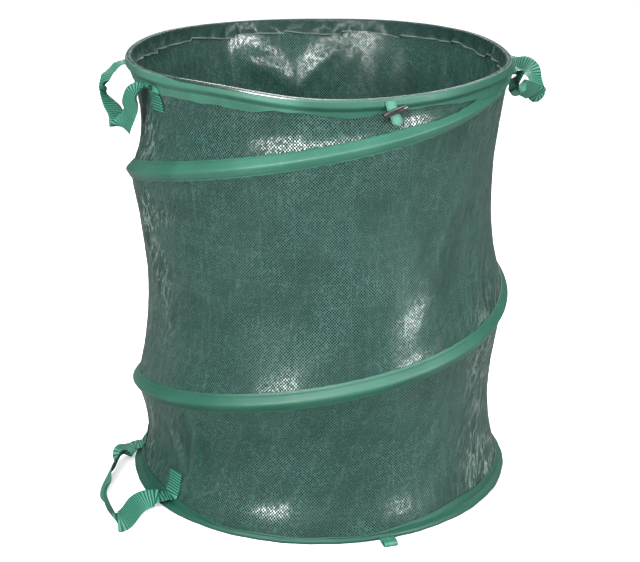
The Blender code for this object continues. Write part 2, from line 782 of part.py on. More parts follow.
def build():
    clear_scene()
    tape, cloth, strap = binding_tape(), wall_cloth(), handle_webbing()
    wire, crimp, small = spring_wire(), ferrule_metal(), loop_tape()
    base_panel(panel_cloth())
    closed_wire("base_wire", base_wire_radius, base_wire_level, wire)
    ferrule("base_wire_ferrule", base_wire_radius, base_wire_level, columns // 2, crimp)
    base_binding(tape)
    side_wall(cloth)
    coil_wire(wire)
    coil_sleeve(sleeve_tape())
    lower_handle(strap)
    closed_wire("rim_wire", rim_wire_radius, rim_wire_height, wire)
    ferrule("rim_wire_ferrule", rim_wire_radius, rim_wire_height, columns // 2, crimp)
    rim_binding(tape)
    rim_hem(hem_cloth())
    upper_handle("left", left_handle_azimuth_deg, left_loop_shares, left_width_shares, "back", "front", strap)
    upper_handle("right", right_handle_azimuth_deg, right_loop_shares, right_width_shares, "back", "front",
                 strap)
    black = toggle_plastic()
    for place in ("front", "back"):
        toggle_tape(place + "_toggle_tape", toggle_azimuths_deg[place], small)
        toggle(place + "_toggle", toggle_azimuths_deg[place], black)
        closure_loop(place + "_closure_loop", closure_azimuths_deg[place], small)


build()
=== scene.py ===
# %% [markdown]
# # A pop-up leaf bag, dressed for its picture
# The bag is a soft woven tube kept open by a spring wire that is wound twice round it. This lesson
# starts from the bag's measured frame and lays cloth, tape and webbing over it, piece by piece.
# Every shape is a surface worked out with numpy: two parameters go in, points in metres come out.

# %% The frame and the tools
import math
from types import SimpleNamespace

import bmesh
import bpy
import numpy as np
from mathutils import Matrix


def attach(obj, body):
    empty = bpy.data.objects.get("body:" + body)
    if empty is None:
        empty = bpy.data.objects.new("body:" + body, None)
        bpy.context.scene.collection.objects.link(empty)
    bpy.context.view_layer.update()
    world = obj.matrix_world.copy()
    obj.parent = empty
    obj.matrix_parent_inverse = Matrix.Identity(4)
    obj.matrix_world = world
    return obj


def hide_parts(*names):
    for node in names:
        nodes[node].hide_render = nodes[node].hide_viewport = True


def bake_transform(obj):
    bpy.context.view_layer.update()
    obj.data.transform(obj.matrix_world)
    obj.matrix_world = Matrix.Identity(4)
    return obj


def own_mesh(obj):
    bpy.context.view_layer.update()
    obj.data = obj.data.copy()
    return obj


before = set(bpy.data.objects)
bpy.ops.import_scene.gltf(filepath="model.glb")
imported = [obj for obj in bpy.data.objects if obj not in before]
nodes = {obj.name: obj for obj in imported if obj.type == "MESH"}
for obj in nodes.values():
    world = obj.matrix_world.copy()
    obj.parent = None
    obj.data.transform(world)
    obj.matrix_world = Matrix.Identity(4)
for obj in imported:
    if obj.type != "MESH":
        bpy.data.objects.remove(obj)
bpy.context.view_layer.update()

# %% [markdown]
# ## Where the picture is taken from
# The photograph looks slightly down into the bag's mouth. Matching the rims, which show as two
# ellipses, gave the camera's height, tilt and lens, so it is set first and everything is judged
# through it.

# %% Camera
FOCAL_PX, PHOTO_PX, SENSOR_MM = 1452.0, 640.0, 36.0
LOOK_DOWN, LOOK_ASIDE = 19.19, -0.45


def put(name, data):
    """New object in the scene."""
    made = bpy.data.objects.new(name, data)
    bpy.context.scene.collection.objects.link(made)
    return made


camera = put("view_camera", bpy.data.cameras.new("view_camera"))
camera.data.sensor_width = SENSOR_MM
camera.data.lens = FOCAL_PX / PHOTO_PX * SENSOR_MM
camera.location = (-0.0123, -1.733, 0.845)
camera.rotation_euler = (math.radians(90.0 - LOOK_DOWN), 0.0, math.radians(LOOK_ASIDE))
bpy.context.scene.camera = camera
bpy.context.scene.view_settings.view_transform = "Standard"
print("lens:", round(camera.data.lens, 1), "mm")

# %% [markdown]
# ## The lines that carry the cloth
# A wire ring holds the mouth, another holds the floor, and the coil runs down between them. The
# rim is tilted and a little wavy, as a soft ring is, and the coil drops unevenly, so both are
# short tables read with a smooth curve.

# %% Sizes of the bag
TURN = 2.0 * math.pi
MEAN_RADIUS = 0.23
WIRE_SIZE, CLOTH_THICKNESS = 0.0020, 0.0006
rim_radius, rim_height, rim_wire_radius = 0.2300, 0.5339, 0.2261
rim_wave = 0.0054 * np.array((-0.72, -0.54, 0.05, -0.20, 0.37, 0.05,
                              -0.60, -0.55, -0.10, -0.30, 0.15, 0.76))
coil_drops = np.array((0.0, 0.118, 0.253, 0.402, 0.541, 0.649, 0.772, 0.880, 1.0))
wall_top_radius, wall_floor_radius = 0.2260, 0.2350
hoop_top_radius, hoop_floor_radius = 0.2285, 0.2345
base_outer_radius = 0.2406
neck_depth, neck_scale = 0.0195, 0.110
tape_height = 0.025
# The rim tape's width in millimetres at azimuths in degrees; it is rolled up at the front.
tape_widths = np.array(((-24.0, 25.0), (-19.6, 24.4), (-16.0, 21.8), (-12.5, 19.6), (-5.4, 17.2),
                        (0.0, 19.4), (5.4, 21.6), (13.7, 20.8), (18.0, 18.2), (22.0, 15.8),
                        (28.6, 16.8), (34.0, 17.0), (41.5, 19.2), (46.0, 21.0), (53.0, 25.0)))


def azimuth(turn):
    """Degrees from the front towards +X, between -180 and 180."""
    return (np.degrees(np.pi / 2 - turn) + 180.0) % 360.0 - 180.0


def turn_at(azimuth_deg):
    """Winding angle, in radians, at an azimuth in degrees."""
    return math.radians(90.0 - azimuth_deg)


def table_at(table, place):
    """Second column of a table of millimetres, read in metres at a place in the first."""
    return np.interp(place, table[:, 0], table[:, 1]) / 1000.0


def smooth(x):
    """Smooth step: 0 below 0, 1 above 1, 3x^2 - 2x^3 between."""
    x = np.clip(x, 0.0, 1.0)
    return x * x * (3.0 - 2.0 * x)


def bell(x, width):
    """Bell curve: 1 at 0, falling off over a width."""
    return np.exp(-(x / width) ** 2)


def pair(*parts):
    """Coordinates stretched to one shape and stacked on a last axis."""
    return np.stack(np.broadcast_arrays(*parts), -1)


def curve(table, place, wrap=False):
    """Catmull-Rom curve through the rows of a table, read at fractional indices."""
    table, place = np.asarray(table, float), np.asarray(place, float)
    i = np.floor(place).astype(int)
    if wrap:
        p = [table[(i + k) % len(table)] for k in (-1, 0, 1, 2)]
    else:
        i = np.clip(i, 0, len(table) - 2)
        padded = np.concatenate([[2 * table[0] - table[1]], table, [2 * table[-1] - table[-2]]])
        p = [padded[i + k] for k in (0, 1, 2, 3)]
    f = np.clip(place - i, 0.0, 1.0)
    if table.ndim > 1:
        f = f[..., None]
    return 0.5 * (2 * p[1] + (p[2] - p[0]) * f + (2 * p[0] - 5 * p[1] + 4 * p[2] - p[3]) * f ** 2
                  + (3 * p[1] - p[0] - 3 * p[2] + p[3]) * f ** 3)


def ring(turn, radius, height):
    """Point at an angle counted clockwise from +X past the front, at a radius and a height."""
    return pair(radius * np.cos(turn), -radius * np.sin(turn), height)


def rim_top(turn):
    """Rim's top edge: a mean height, a tilt and a wave read from its table."""
    wave = curve(rim_wave, np.degrees(np.pi / 2 - turn) / 30.0, True)
    return rim_height - 0.0063 * np.sin(turn) - 0.0030 * np.cos(turn) + wave


def rim_line(turn):
    """Height at which the wall and the coil start, a little below the rim's top edge."""
    return rim_top(turn) - 0.0057


def coil_height(turn):
    """Height of the coil after an angle of winding, from the share of the drop it has made."""
    return rim_line(0.0) * (1.0 - curve(coil_drops, np.clip(turn / (TURN / 4), 0, 8)))


def hoop_radius(height):
    """Radius of the wall where the coil holds it, widening downward and tucked in at both rings."""
    top, tuck = rim_line(0.0), 0.030
    line = hoop_floor_radius + (hoop_top_radius - hoop_floor_radius) * height / top
    line = line + smooth(1.0 - (top - height) / tuck) * (wall_top_radius - hoop_top_radius)
    return line + smooth(1.0 - height / tuck) * (wall_floor_radius - hoop_floor_radius)


print("coil at quarter turns:", np.round(coil_height(np.arange(9) * TURN / 4), 3))

# %% [markdown]
# ## Folds
# Slack cloth between two tight lines folds in a few ways: short gathers that run out from the
# stitching, long slanting folds between one turn of the coil and the next, and a few big soft
# dents. Each is a sum of waves whose turns round the bag are whole numbers, so the cloth closes
# on itself.

# %% Fold helpers
def waves(turn, height, seed, count, low, high, lean, spread):
    """Sum of waves cos(m*turn + k*height + p); k follows m so that crests lean by a set slope."""
    rng = np.random.default_rng(seed)
    total = 0.0
    for _ in range(count):
        m = rng.integers(low, high + 1)
        k = m / MEAN_RADIUS * (lean + rng.normal() * spread)
        total = total + np.cos(m * turn + k * height + rng.uniform(0, TURN)) * rng.uniform(0.6, 1.0)
    return total / math.sqrt(count)


def crests(x):
    """Turns a soft wave into narrow ridges with wide flat valleys."""
    return 1.0 - np.sqrt(np.abs(x) + 0.02)


def beside(turn, azimuth_deg):
    """Metres round the wall from an azimuth, the shorter way, positive towards +X."""
    return (((np.pi / 2 - turn) - math.radians(azimuth_deg) + np.pi) % TURN - np.pi) * MEAN_RADIUS


def dent(turn, height, azimuth_deg, level, length, width, lean, depth):
    """One long fold: a ridge with a trough beside it, along a leaning line, fading at its ends."""
    across, up = beside(turn, azimuth_deg), height - level
    along = up * math.cos(lean) + across * math.sin(lean)
    off = across * math.cos(lean) - up * math.sin(lean)
    return depth * bell(along, length) * (bell(off, width) - 0.6 * bell(off - 1.4 * width, width))


dents = [
    # azimuth, level, length, width, lean, depth
    (-150, 0.42, 0.070, 0.012, 0.15, 0.0045), (150, 0.41, 0.075, 0.015, -0.20, 0.0050),
    (-128, 0.45, 0.060, 0.011, 0.30, 0.0035), (128, 0.45, 0.070, 0.012, 0.10, 0.0040),
    (-66, 0.37, 0.060, 0.010, 0.55, 0.0026), (-52, 0.08, 0.045, 0.009, -0.35, 0.0026),
    (-44, 0.07, 0.050, 0.008, 0.25, 0.0024), (-35, 0.25, 0.080, 0.016, 0.75, 0.0022),
    (8, 0.33, 0.090, 0.020, 0.95, 0.0022), (28, 0.24, 0.070, 0.014, 0.85, 0.0020),
    (46, 0.36, 0.080, 0.014, 0.45, 0.0030), (60, 0.31, 0.070, 0.010, 0.20, 0.0026),
    (38, 0.10, 0.050, 0.011, 0.80, 0.0028), (52, 0.13, 0.045, 0.009, 0.60, 0.0026),
    (72, 0.10, 0.050, 0.010, 0.30, 0.0024), (-15, 0.07, 0.050, 0.016, 1.05, 0.0022),
    (100, 0.36, 0.080, 0.014, 0.25, 0.0030), (-100, 0.30, 0.080, 0.014, 0.30, 0.0030),
    (180, 0.20, 0.090, 0.018, 0.60, 0.0028), (-140, 0.17, 0.070, 0.014, 0.50, 0.0028),
    (140, 0.22, 0.080, 0.016, 0.40, 0.0028)]
# Azimuth and level of the cloth under each sewn end of a handle, which lies flat.
patches = [(-95.5, 0.496), (-56.5, 0.496), (86.5, 0.496), (125.5, 0.496), (-91.0, 0.030), (-52.0, 0.030)]


def front_share(turn):
    """1 across the front and 0 at the sides and back, with a soft fade at each end."""
    return 1.0 - smooth((azimuth(turn) - 8.0) / 40.0) - smooth((-25.0 - azimuth(turn)) / 35.0)


def base_leg(turn):
    """How far the base tape goes up the wall: little at the front, where the cloth sags over it."""
    return 0.0180 - 0.0112 * front_share(turn)


def sag(turn, height):
    """Slack cloth that bulges over the base tape at the front: a bell curve about one height."""
    return 0.0042 * front_share(turn) * bell(height - 0.023, 0.013)


def back_pleat(turn, height):
    """Pleat across the back in a V: the cloth slopes in down to the V's line, then steps back out.
    Below its right arm a second, shallower ridge follows."""
    off = (180.0 - azimuth(turn) % 360.0) * math.radians(MEAN_RADIUS) + 0.030
    above = height - (0.441 + np.where(off < 0, -0.62, 0.92) * off)
    slope = np.where(above > 0, 1.0 - smooth(above / 0.044), 1.0 - smooth(-above / 0.020))
    ridge = bell(above + 0.032, 0.011) * smooth((off + 0.010) / 0.020)
    return -(0.0092 * slope + 0.0042 * ridge) * (1.0 - smooth((np.abs(off) - 0.070) / 0.035))


def wall_folds(turn, height, free):
    """Radial fold height, from the distance that the cloth has run free of the nearest tape."""
    free = np.maximum(free, 0.0)
    open_cloth = smooth(free / 0.030)
    gathers = smooth(free / 0.008) * np.exp(-free / 0.026)
    near = crests(waves(turn, height, 11, 9, 34, 90, 0.0, 0.25)) - 0.25
    slant = crests(waves(turn, height, 23, 8, 7, 22, 0.55, 0.20)) - 0.30
    slant_small = crests(waves(turn, height, 31, 10, 26, 60, 0.45, 0.35)) - 0.30
    side_share = smooth((np.abs(np.cos(turn)) - 0.45) / 0.35)
    total = gathers * (0.0006 + 0.0014 * side_share) * near
    total = total + open_cloth * (0.0014 * slant + (0.0001 + 0.0008 * side_share) * slant_small)
    big = sum(dent(turn, height, *row) for row in dents) + back_pleat(turn, height)
    total = total + sag(turn, height) + open_cloth * big
    for azimuth_deg, level in patches:
        flat = (beside(turn, azimuth_deg) / 0.019) ** 4 + ((height - level) / 0.024) ** 4
        total = total * (1.0 - np.exp(-flat))
    return total


# %% [markdown]
# ## From points to a mesh
# A grid of points becomes a mesh with four-sided faces. Each corner also gets a place on the flat
# cloth, in metres, which the weave and the stitching are drawn with. Seams are merged afterwards,
# and open ends are closed, so that every piece is a true solid.

# %% Mesh helpers
def grid_faces(n, m):
    """Indices of an n by m grid of points, and its four-sided faces."""
    index = np.arange(n * m).reshape(n, m)
    corners = index[:-1, :-1], index[1:, :-1], index[1:, 1:], index[:-1, 1:]
    return index, np.stack(corners, -1).reshape(-1, 4)


def new_mesh(name, points, faces, cloth):
    """Mesh whose corners know their place on the flat cloth."""
    mesh = bpy.data.meshes.new(name)
    mesh.from_pydata(points.reshape(-1, 3), [], faces.tolist())
    layer = mesh.uv_layers.new(name="cloth")
    layer.data.foreach_set("uv", cloth.reshape(-1, 2)[faces.ravel()].ravel().astype(np.float32))
    return mesh


def mark_pale_lines(mesh, values):
    """Stores how pale the cloth is drawn at each vertex, from 0 to 1: on the wall how creased it is,
    on the mouth fold how near its free edge, where the paleness is a painted highlight.
    """
    mesh.attributes.new("pale_lines", "FLOAT", "POINT").data.foreach_set("value", values.astype(np.float32))


def finish_mesh(name, mesh, sharp=None):
    """Merges the seams, closes open ends, turns every face outwards and puts the piece in the scene."""
    work = bmesh.new()
    work.from_mesh(mesh)
    bmesh.ops.remove_doubles(work, verts=work.verts, dist=2e-6)
    rims = [edge for edge in work.edges if edge.is_boundary]
    if rims:
        bmesh.ops.holes_fill(work, edges=rims, sides=0)
    bmesh.ops.recalc_face_normals(work, faces=work.faces)
    work.to_mesh(mesh)
    work.free()
    mesh.shade_smooth()
    if sharp is not None:
        mesh.set_sharp_from_angle(angle=math.radians(sharp))
    return put(name, mesh)


def surface(name, points, cloth, sharp=None):
    """Piece from an (n, m, 3) grid; cloth is the (n, m, 2) place on the flat material."""
    faces = grid_faces(*points.shape[:2])[1]
    return finish_mesh(name, new_mesh(name, points, faces, cloth), sharp)


def tube(name, section, turns, radius, sharp=None):
    """Ring or sweep of closed sections, each a (radius, height) row with its place across the tape.
    The place along the tape is the angle times a radius."""
    section, across = (np.concatenate([part, part[:, :1]], 1) for part in section)
    points = ring(turns[:, None], section[..., 0], section[..., 1])
    return surface(name, points, pair((turns * radius)[:, None], across), sharp)


def there_and_back(inner, outer, across):
    """Closed section: out along its inner face and back along its outer one."""
    return np.concatenate([inner, outer[:, ::-1]], 1), np.concatenate([across, across[:, ::-1]], 1)


def flat_tape(radius, height, thickness, across):
    """Closed section of a tape: its inner face, and the same line moved out by its thickness."""
    radius, height, across = np.broadcast_arrays(radius, height, across)
    return there_and_back(pair(radius, height), pair(radius + thickness, height), across)


def wire_section(radius, height, size, sides):
    """Circle of a given size about a centre, in the radius and height plane."""
    angle = np.arange(sides) / sides * TURN
    section = pair(radius + size * np.cos(angle), height + size * np.sin(angle))
    return section, np.broadcast_to(WIRE_SIZE * angle, section.shape[:2])


# %% [markdown]
# ## The wall
# The wall is one strip that winds down with the coil: its top edge is the rim or the turn above,
# its bottom edge the turn below or the floor. Between the two the cloth pulls in like a waist,
# deeper where the gap is wide. The inside is the same strip moved in by the cloth's thickness.

# %% Wall strip
def wall_lines(turn):
    """Upper and lower line of the strip at an angle of winding, as radius and height pairs."""
    above, below = coil_height(turn - TURN), coil_height(turn)
    first, last = turn <= TURN, turn > 2 * TURN
    return (np.where(first, wall_top_radius, hoop_radius(above)), np.where(first, rim_line(turn), above),
            np.where(last, wall_floor_radius, hoop_radius(below)), np.where(last, 0.0, below))


def wall_strip(turn, share, folded=True):
    """Radius and height on the strip: a straight line, less the neck's parabola, which is deepest a
    little below the middle, plus folds."""
    upper_r, upper_z, lower_r, lower_z = wall_lines(turn)
    gap = np.maximum(upper_z - lower_z, 0.0)
    depth = neck_depth * (1.0 - np.exp(-gap / neck_scale))
    height = upper_z - gap * share
    radius = upper_r + (lower_r - upper_r) * share - depth * (1.0 - (2.0 * share ** 1.22 - 1.0) ** 2)
    if folded:
        least = 0.0098
        upper_cover = np.maximum(least, upper_z - rim_top(turn) + tape_height)
        lower_cover = np.maximum(least, base_leg(turn) - lower_z)
        free = np.minimum(gap * share - upper_cover, gap * (1.0 - share) - lower_cover)
        radius = radius + wall_folds(turn, height, free)
    return radius, height


def wall_radius(turn, height):
    """Plain wall radius at any angle and height, found on whichever lap of the strip holds it."""
    turn = np.mod(turn, TURN)
    best = np.full(np.broadcast(turn, height).shape, wall_floor_radius)
    for lap in range(3):
        wound = turn + lap * TURN
        _, upper_z, _, lower_z = wall_lines(wound)
        share = np.clip((upper_z - height) / np.maximum(upper_z - lower_z, 1e-6), 0.0, 1.0)
        radius, _ = wall_strip(wound, share, False)
        best = np.where((height <= upper_z + 1e-9) & (height >= lower_z - 1e-9), radius, best)
    return best


per_turn, wall_rows = 420, 20
winding = np.arange(3 * per_turn + 1) / per_turn * TURN
row_cos = np.cos(np.pi * np.linspace(0.0, 1.0, wall_rows + 1))
row_share = 0.5 - 0.5 * row_cos * (0.75 + 0.25 * row_cos ** 2)
outer_r, outer_z = wall_strip(winding[:, None], row_share[None, :])


def strip_marks(radius):
    """How sharply the cloth bends along the strip: its second difference, scaled to 0 to 1."""
    bend = np.zeros_like(radius)
    bend[1:-1] = -(radius[2:] + radius[:-2] - 2 * radius[1:-1]) / 0.0034 ** 2
    return np.clip(bend / 90.0, 0.0, 1.0)


def wall_mesh():
    """Outer and inner skins of the strip joined along the mouth and the floor."""
    skins = [ring(winding[:, None], outer_r - inward, outer_z).reshape(-1, 3)
             for inward in (0.0, CLOTH_THICKNESS)]
    index, quads = grid_faces(*outer_r.shape)
    top = np.stack([index[:per_turn, 0], index[1:per_turn + 1, 0]], -1)
    low = np.stack([index[2 * per_turn:-1, -1], index[2 * per_turn + 1:, -1]], -1)
    edges, inner = np.concatenate([top, low]), outer_r.size
    joins = np.concatenate([edges, edges[:, ::-1] + inner], 1)
    faces = np.concatenate([quads, quads[:, ::-1] + inner, joins])
    flat = np.tile(pair((winding * 0.2290)[:, None], outer_z).reshape(-1, 2), (2, 1))
    mesh = new_mesh("wall_cloth", np.concatenate(skins), faces, flat)
    mark_pale_lines(mesh, np.tile(strip_marks(outer_r).ravel(), 2))
    return finish_mesh("wall_cloth", mesh)


wall = wall_mesh()
print("wall:", len(wall.data.polygons), "faces")

# %% [markdown]
# ## The coil and its sleeve
# The spring is a plain round wire. A strip of tape is sewn over it on the outside of the wall, so
# the tape lies flat at both edges and stands up in a ridge over the wire. Its section is worked
# out once and carried along the winding. Near the mouth it slips under the rim's tape.

# %% Spring wire
SPRING_RADIUS = 0.235
wound = np.linspace(0.62, 2 * TURN - 0.54, 552)
spring_z = coil_height(wound)[:, None]
spring = tube("coil_spring", wire_section(hoop_radius(spring_z) + 0.0023, spring_z, WIRE_SIZE, 10),
              wound, SPRING_RADIUS)
print("spring wire:", round(float(wound[-1] - wound[0]) * SPRING_RADIUS, 2), "m long")

# %% Sleeve over the spring
# How far the sleeve goes above and below the wire, in millimetres at angles of winding.
sleeve_up = np.array(((0.06, 11.5), (0.50, 8.6), (0.65, 7.8), (0.75, 7.0), (0.87, 5.8), (0.97, 5.8),
                      (1.15, 8.2), (1.40, 8.4), (1.57, 9.0), (2.10, 10.4), (2.60, 11.5)))
sleeve_down = np.array(((0.06, 2.0), (0.45, 2.2), (0.55, 3.2), (0.65, 5.2), (0.75, 8.2), (0.85, 10.6),
                        (1.00, 11.5)))


def sleeve_section(turns):
    """Tape drawn like a tent over the wire, down to flanges that hug the wall, with slight puckers."""
    t = turns[:, None]
    middle = coil_height(t)
    share = np.linspace(0.0, 1.0, 31)[None, :]
    top_limit, low_limit, least = rim_top(t) - table_at(tape_widths, azimuth(t)) + 0.0014, 0.0168, 0.005
    high = np.clip(middle + table_at(sleeve_up, t), low_limit + least, top_limit)
    low = np.clip(middle - table_at(sleeve_down, t), low_limit, top_limit - least)
    ragged = 0.00016 * (np.sin(t * 61) + np.sin(t * 97 + 1)) * (2 * share - 1) ** 3
    z = high - share * (high - low) + ragged
    from_wire = np.abs(z - middle)
    clear = np.maximum(np.hypot(from_wire, 0.0028) - 0.0032, 0.0)
    lift = 0.0044 * np.clip(1.0 - clear / 0.0082, 0.0, 1.0)
    lift = lift * smooth((t - 0.10) / 0.4) * smooth((2 * TURN - 0.06 - t) / 0.25)
    pucker = 0.00018 * np.sin(t * 143 + np.sin(t * 31) * 2) * bell(from_wire - 0.0085, 0.0022)
    return flat_tape(wall_radius(t, z) + 0.0004 + lift + pucker, z, 0.0007, z - middle)


sleeve_turns = np.linspace(0.06, 2 * TURN - 0.055, 1200)
sleeve = tube("coil_sleeve_tape", sleeve_section(sleeve_turns), sleeve_turns, 0.237, sharp=50)
print("sleeve:", len(sleeve.data.polygons), "faces")

# %% [markdown]
# ## Rim tape, hoop and folded mouth
# The wall's edge is folded over a wire hoop to the inside, and a bright tape is sewn round the
# outside. The wire makes the tape bulge along its top, the coil's first stretch lifts it in a
# slanting ridge at the right, and the tape's two ends lap over each other beside the toggle.

# %% Rim tape
around = np.arange(721) / 720 * TURN
WALL_EDGE = 0.0058


def rim_tape_section(turns):
    """Outer tape: bulge over the wire at the top, then down the wall to a slightly wavy edge."""
    t = turns[:, None]
    share = np.linspace(0.0, 1.0, 30)[None, :] ** 1.15
    top, place = rim_top(t), azimuth(t)
    bare = 0.0009 + 0.0026 * smooth((place + 52.0) / 12.0) * smooth((0.0 - place) / 14.0)
    width = table_at(tape_widths, place) + 0.0005 * np.sin(t * 23 + 1) + 0.0004 * np.sin(t * 41)
    drop = bare + share * (width - bare)
    z = top - drop
    on_wall = wall_radius(t, np.minimum(z, top - WALL_EDGE)) + 0.0005
    bulge = 0.2262 + np.sqrt(0.0034 ** 2 - np.maximum(0.0034 - drop, 0.0) ** 2)
    below = smooth((drop - 0.0078) / 0.0070)
    radius = bulge * (1 - below) + on_wall * below
    early = smooth(1.0 - (t - 0.45) / 0.25) * smooth(t / 0.14)
    ridge = bell(z - coil_height(np.clip(t, 0, TURN)), 0.0032)
    radius = radius + 0.0040 * early * ridge * smooth((drop - 0.004) / 0.006)
    pucker = np.sin(t * 171 + 2 * np.sin(t * 37)) * bell(drop - 0.0165, 0.003)
    soft = 1 + np.sin(t * 13 + 2) * np.sin(np.pi * share)
    lap = smooth((place - 15.4) / 0.5) * smooth((24.5 - place) / 0.5)
    radius = radius + 0.00022 * pucker + 0.0004 * soft * np.sin(np.pi * share) + 0.0004 * lap
    return flat_tape(radius, z, 0.0008, drop)


rim_tape = tube("rim_tape", rim_tape_section(around), around, 0.2305, sharp=50)

# %% Hoop in the rim
# The wire is a little thicker over a fifteen-degree stretch, where a crimped tube joins its ends.
crimp = smooth((around - np.pi) / 0.004) * smooth((np.pi + TURN / 24 - around) / 0.004)
rim_hoop = tube("rim_hoop", wire_section(rim_wire_radius, rim_top(around)[:, None] - 0.0035,
                                         WIRE_SIZE + 0.00012 * crimp[:, None], 12), around, rim_wire_radius)

# %% Folded mouth inside the rim
FOLD_TOP = 0.0033


def fold_length(t):
    """Length of the fold's free leg, which ends in slanting flaps: a saw and a slow wave."""
    flaps = np.mod(t * 18 / TURN + 0.1 * np.sin(t * 3), 1.0) - 0.5
    return 0.0150 + 0.0014 * np.sin(t * 11) + 0.0036 * flaps


def mouth_fold_section(turns):
    """Cloth over the wire and down the inside, flaring a little from the wall, edge wavy."""
    t = turns[:, None]
    top = rim_top(t)
    angle = np.linspace(-0.35 * np.pi, np.pi, 14)[None, :] + 0 * t
    share = np.linspace(0.06, 1.0, 15)[None, :]
    leg_z = top - FOLD_TOP - share * fold_length(t)
    under = wall_radius(t, np.minimum(leg_z, top - WALL_EDGE)) - 0.0022
    ripple = 0.5 * (1 + np.sin(t * 47 + 2 * np.sin(t * 9))) * share ** 2
    leg_r = np.minimum(0.2230, under) - 0.0014 * share - 0.0042 * ripple
    faces = []
    for size, shift in ((0.0026, 0.0005), (0.0031, 0.0)):
        over = pair(rim_wire_radius + size * np.cos(angle), top - FOLD_TOP + size * np.sin(angle))
        faces.append(np.concatenate([over, pair(leg_r + shift, leg_z)], 1))
    return there_and_back(*faces, np.concatenate([0.003 * angle, 0.0095 + (top - 0.0035 - leg_z)], 1))


mouth_fold = tube("mouth_fold", mouth_fold_section(around), around, 0.2250, sharp=60)
fold_points = np.empty(3 * len(mouth_fold.data.vertices))
mouth_fold.data.vertices.foreach_get("co", fold_points)
fold_x, fold_y, fold_z = fold_points.reshape(-1, 3).T
edge_turn = np.arctan2(-fold_y, fold_x) % TURN
edge_height = rim_top(edge_turn) - FOLD_TOP - fold_length(edge_turn)
# The fold's free edge is drawn pale: a painted highlight.
mark_pale_lines(mouth_fold.data, smooth(1.0 - (fold_z - edge_height) / 0.0016))
print("rim tape and fold:", len(rim_tape.data.polygons), len(mouth_fold.data.polygons), "faces")

# %% [markdown]
# ## Base tape and floor
# At the bottom a tape is folded round the base wire: one leg lies up the wall, the other turns
# under. The floor is a disc of the same cloth, nearly flat, with a few soft ripples.

# %% Base tape
def base_tape_section(turns):
    """Folded tape round the base wire: up the wall, round the bulge and under the edge."""
    t = turns[:, None]
    puff = 0.0003 * np.sin(t * 19) + 0.0002 * np.sin(t * 47 + 1)
    high = base_leg(t) - 0.0003 + 0.0004 * np.sin(t * 17 + 1)
    share = np.linspace(0.0, 1.0, 10)[None, :]
    leg_z = high - share * (high - np.minimum(0.0088, 0.75 * high))
    pucker = 0.00025 * np.sin(t * 151 + 2 * np.sin(t * 29)) * bell(leg_z - 0.0140, 0.0025)
    leg_r = wall_radius(t, leg_z) + sag(t, leg_z) + 0.0006 + 0.0003 * np.sin(np.pi * share) + pucker
    angle = np.linspace(0.45 * np.pi, -0.5 * np.pi, 13)[None, :]
    faces = []
    for size, floor_z, shift in ((0.0024, 0.0008, 0.0), (0.0032, 0.0, 0.0008)):
        bulge_z = np.maximum(0.0035 + (size + 0.0003) * np.sin(angle), floor_z)
        bulge = pair(0.2373 + puff + size * np.cos(angle), bulge_z)
        faces.append(np.concatenate([pair(leg_r + shift, leg_z), bulge, pair(0.2354 + 0 * t, floor_z)], 1))
    steps = np.linalg.norm(np.diff(faces[1], axis=1), axis=-1)
    return there_and_back(*faces, np.concatenate([0 * t, np.cumsum(steps, 1)], 1))


base_tape = tube("base_tape", base_tape_section(around), around, 0.2395, sharp=50)

# %% Floor cloth
def floor_points():
    """Disc of cloth in rings from the middle out, lifted by soft ripples that die at the edge."""
    share = np.linspace(0.0, 1.0, 40)[None, :]
    x, y, _ = np.moveaxis(ring(np.arange(241)[:, None] / 240 * TURN, 0.2336 * share, 0.0), -1, 0)
    ripple = np.sin(x * 31 + 7 * y) * np.sin(y * 27 - 5 * x + 1) + 0.5 * np.sin(x * 60 + y * 44)
    lift = 0.0010 + 0.0010 * (1.2 + ripple) * np.clip(np.sin(np.pi * share), 0, 1) ** 0.8
    return np.concatenate([pair(x, y, lift), pair(x, y, lift - 0.0007)[:, ::-1]], 1)


floor_grid = floor_points()
floor_cloth = surface("floor_cloth", floor_grid, floor_grid[..., :2].copy(), sharp=60)

# %% [markdown]
# ## Webbing handles
# Each handle is one length of webbing: sewn to the wall, bent over the edge tape, out into a loop
# and back. Its middle line and the direction of its width are tables taken from the picture, in
# directions out from the bag, along its chord and up. A flat, round-edged section follows them,
# cupped a little, as pressed webbing is.

# %% Webbing helper
def directions(azimuth_deg):
    """Out from the bag, along the chord and up, as three rows."""
    a = math.radians(azimuth_deg)
    return np.array([[math.sin(a), -math.cos(a), 0.0], [math.cos(a), math.sin(a), 0.0], [0.0, 0.0, 1.0]])


def unit(vectors):
    """Vectors brought to a length of one."""
    return vectors / np.linalg.norm(vectors, axis=-1, keepdims=True)


def webbing(name, centres, widths, width=0.025, thickness=0.0013, steps=14, cup=0.0):
    """Ribbon through its stations: a flat section with round edges, set square to its path."""
    place = np.linspace(0, len(centres) - 1, (len(centres) - 1) * steps + 1)
    middle, side = curve(centres, place), curve(widths, place)
    path = unit(np.gradient(middle, axis=0))
    side = unit(side - path * np.sum(side * path, axis=1, keepdims=True))
    span = np.linspace(-1, 1, 15)
    edge = np.sqrt(np.clip(1 - np.abs(span) ** 14, 0.03, 1)) * thickness / 2
    ends = smooth(place / 3.0) * smooth((place[-1] - place) / 3.0)
    bow = cup * (1 - span ** 2) * (0.5 + 0.5 * np.sin(place * 1.9 + 0.5))[:, None] * ends[:, None]
    a = np.concatenate([span, span[::-1], span[:1]]) * width / 2
    b = np.concatenate([bow + edge, (bow - edge)[:, ::-1], (bow + edge)[:, :1]], 1)
    face = np.cross(path, side)
    points = middle[:, None] + side[:, None] * a[None, :, None] + face[:, None] * b[..., None]
    run = np.concatenate([[0], np.cumsum(np.linalg.norm(np.diff(middle, axis=0), axis=1))])
    print(name, "length:", round(float(run[-1]) * 1000), "mm")
    return surface(name, points, pair(run[:, None], a[None, :]), sharp=55)


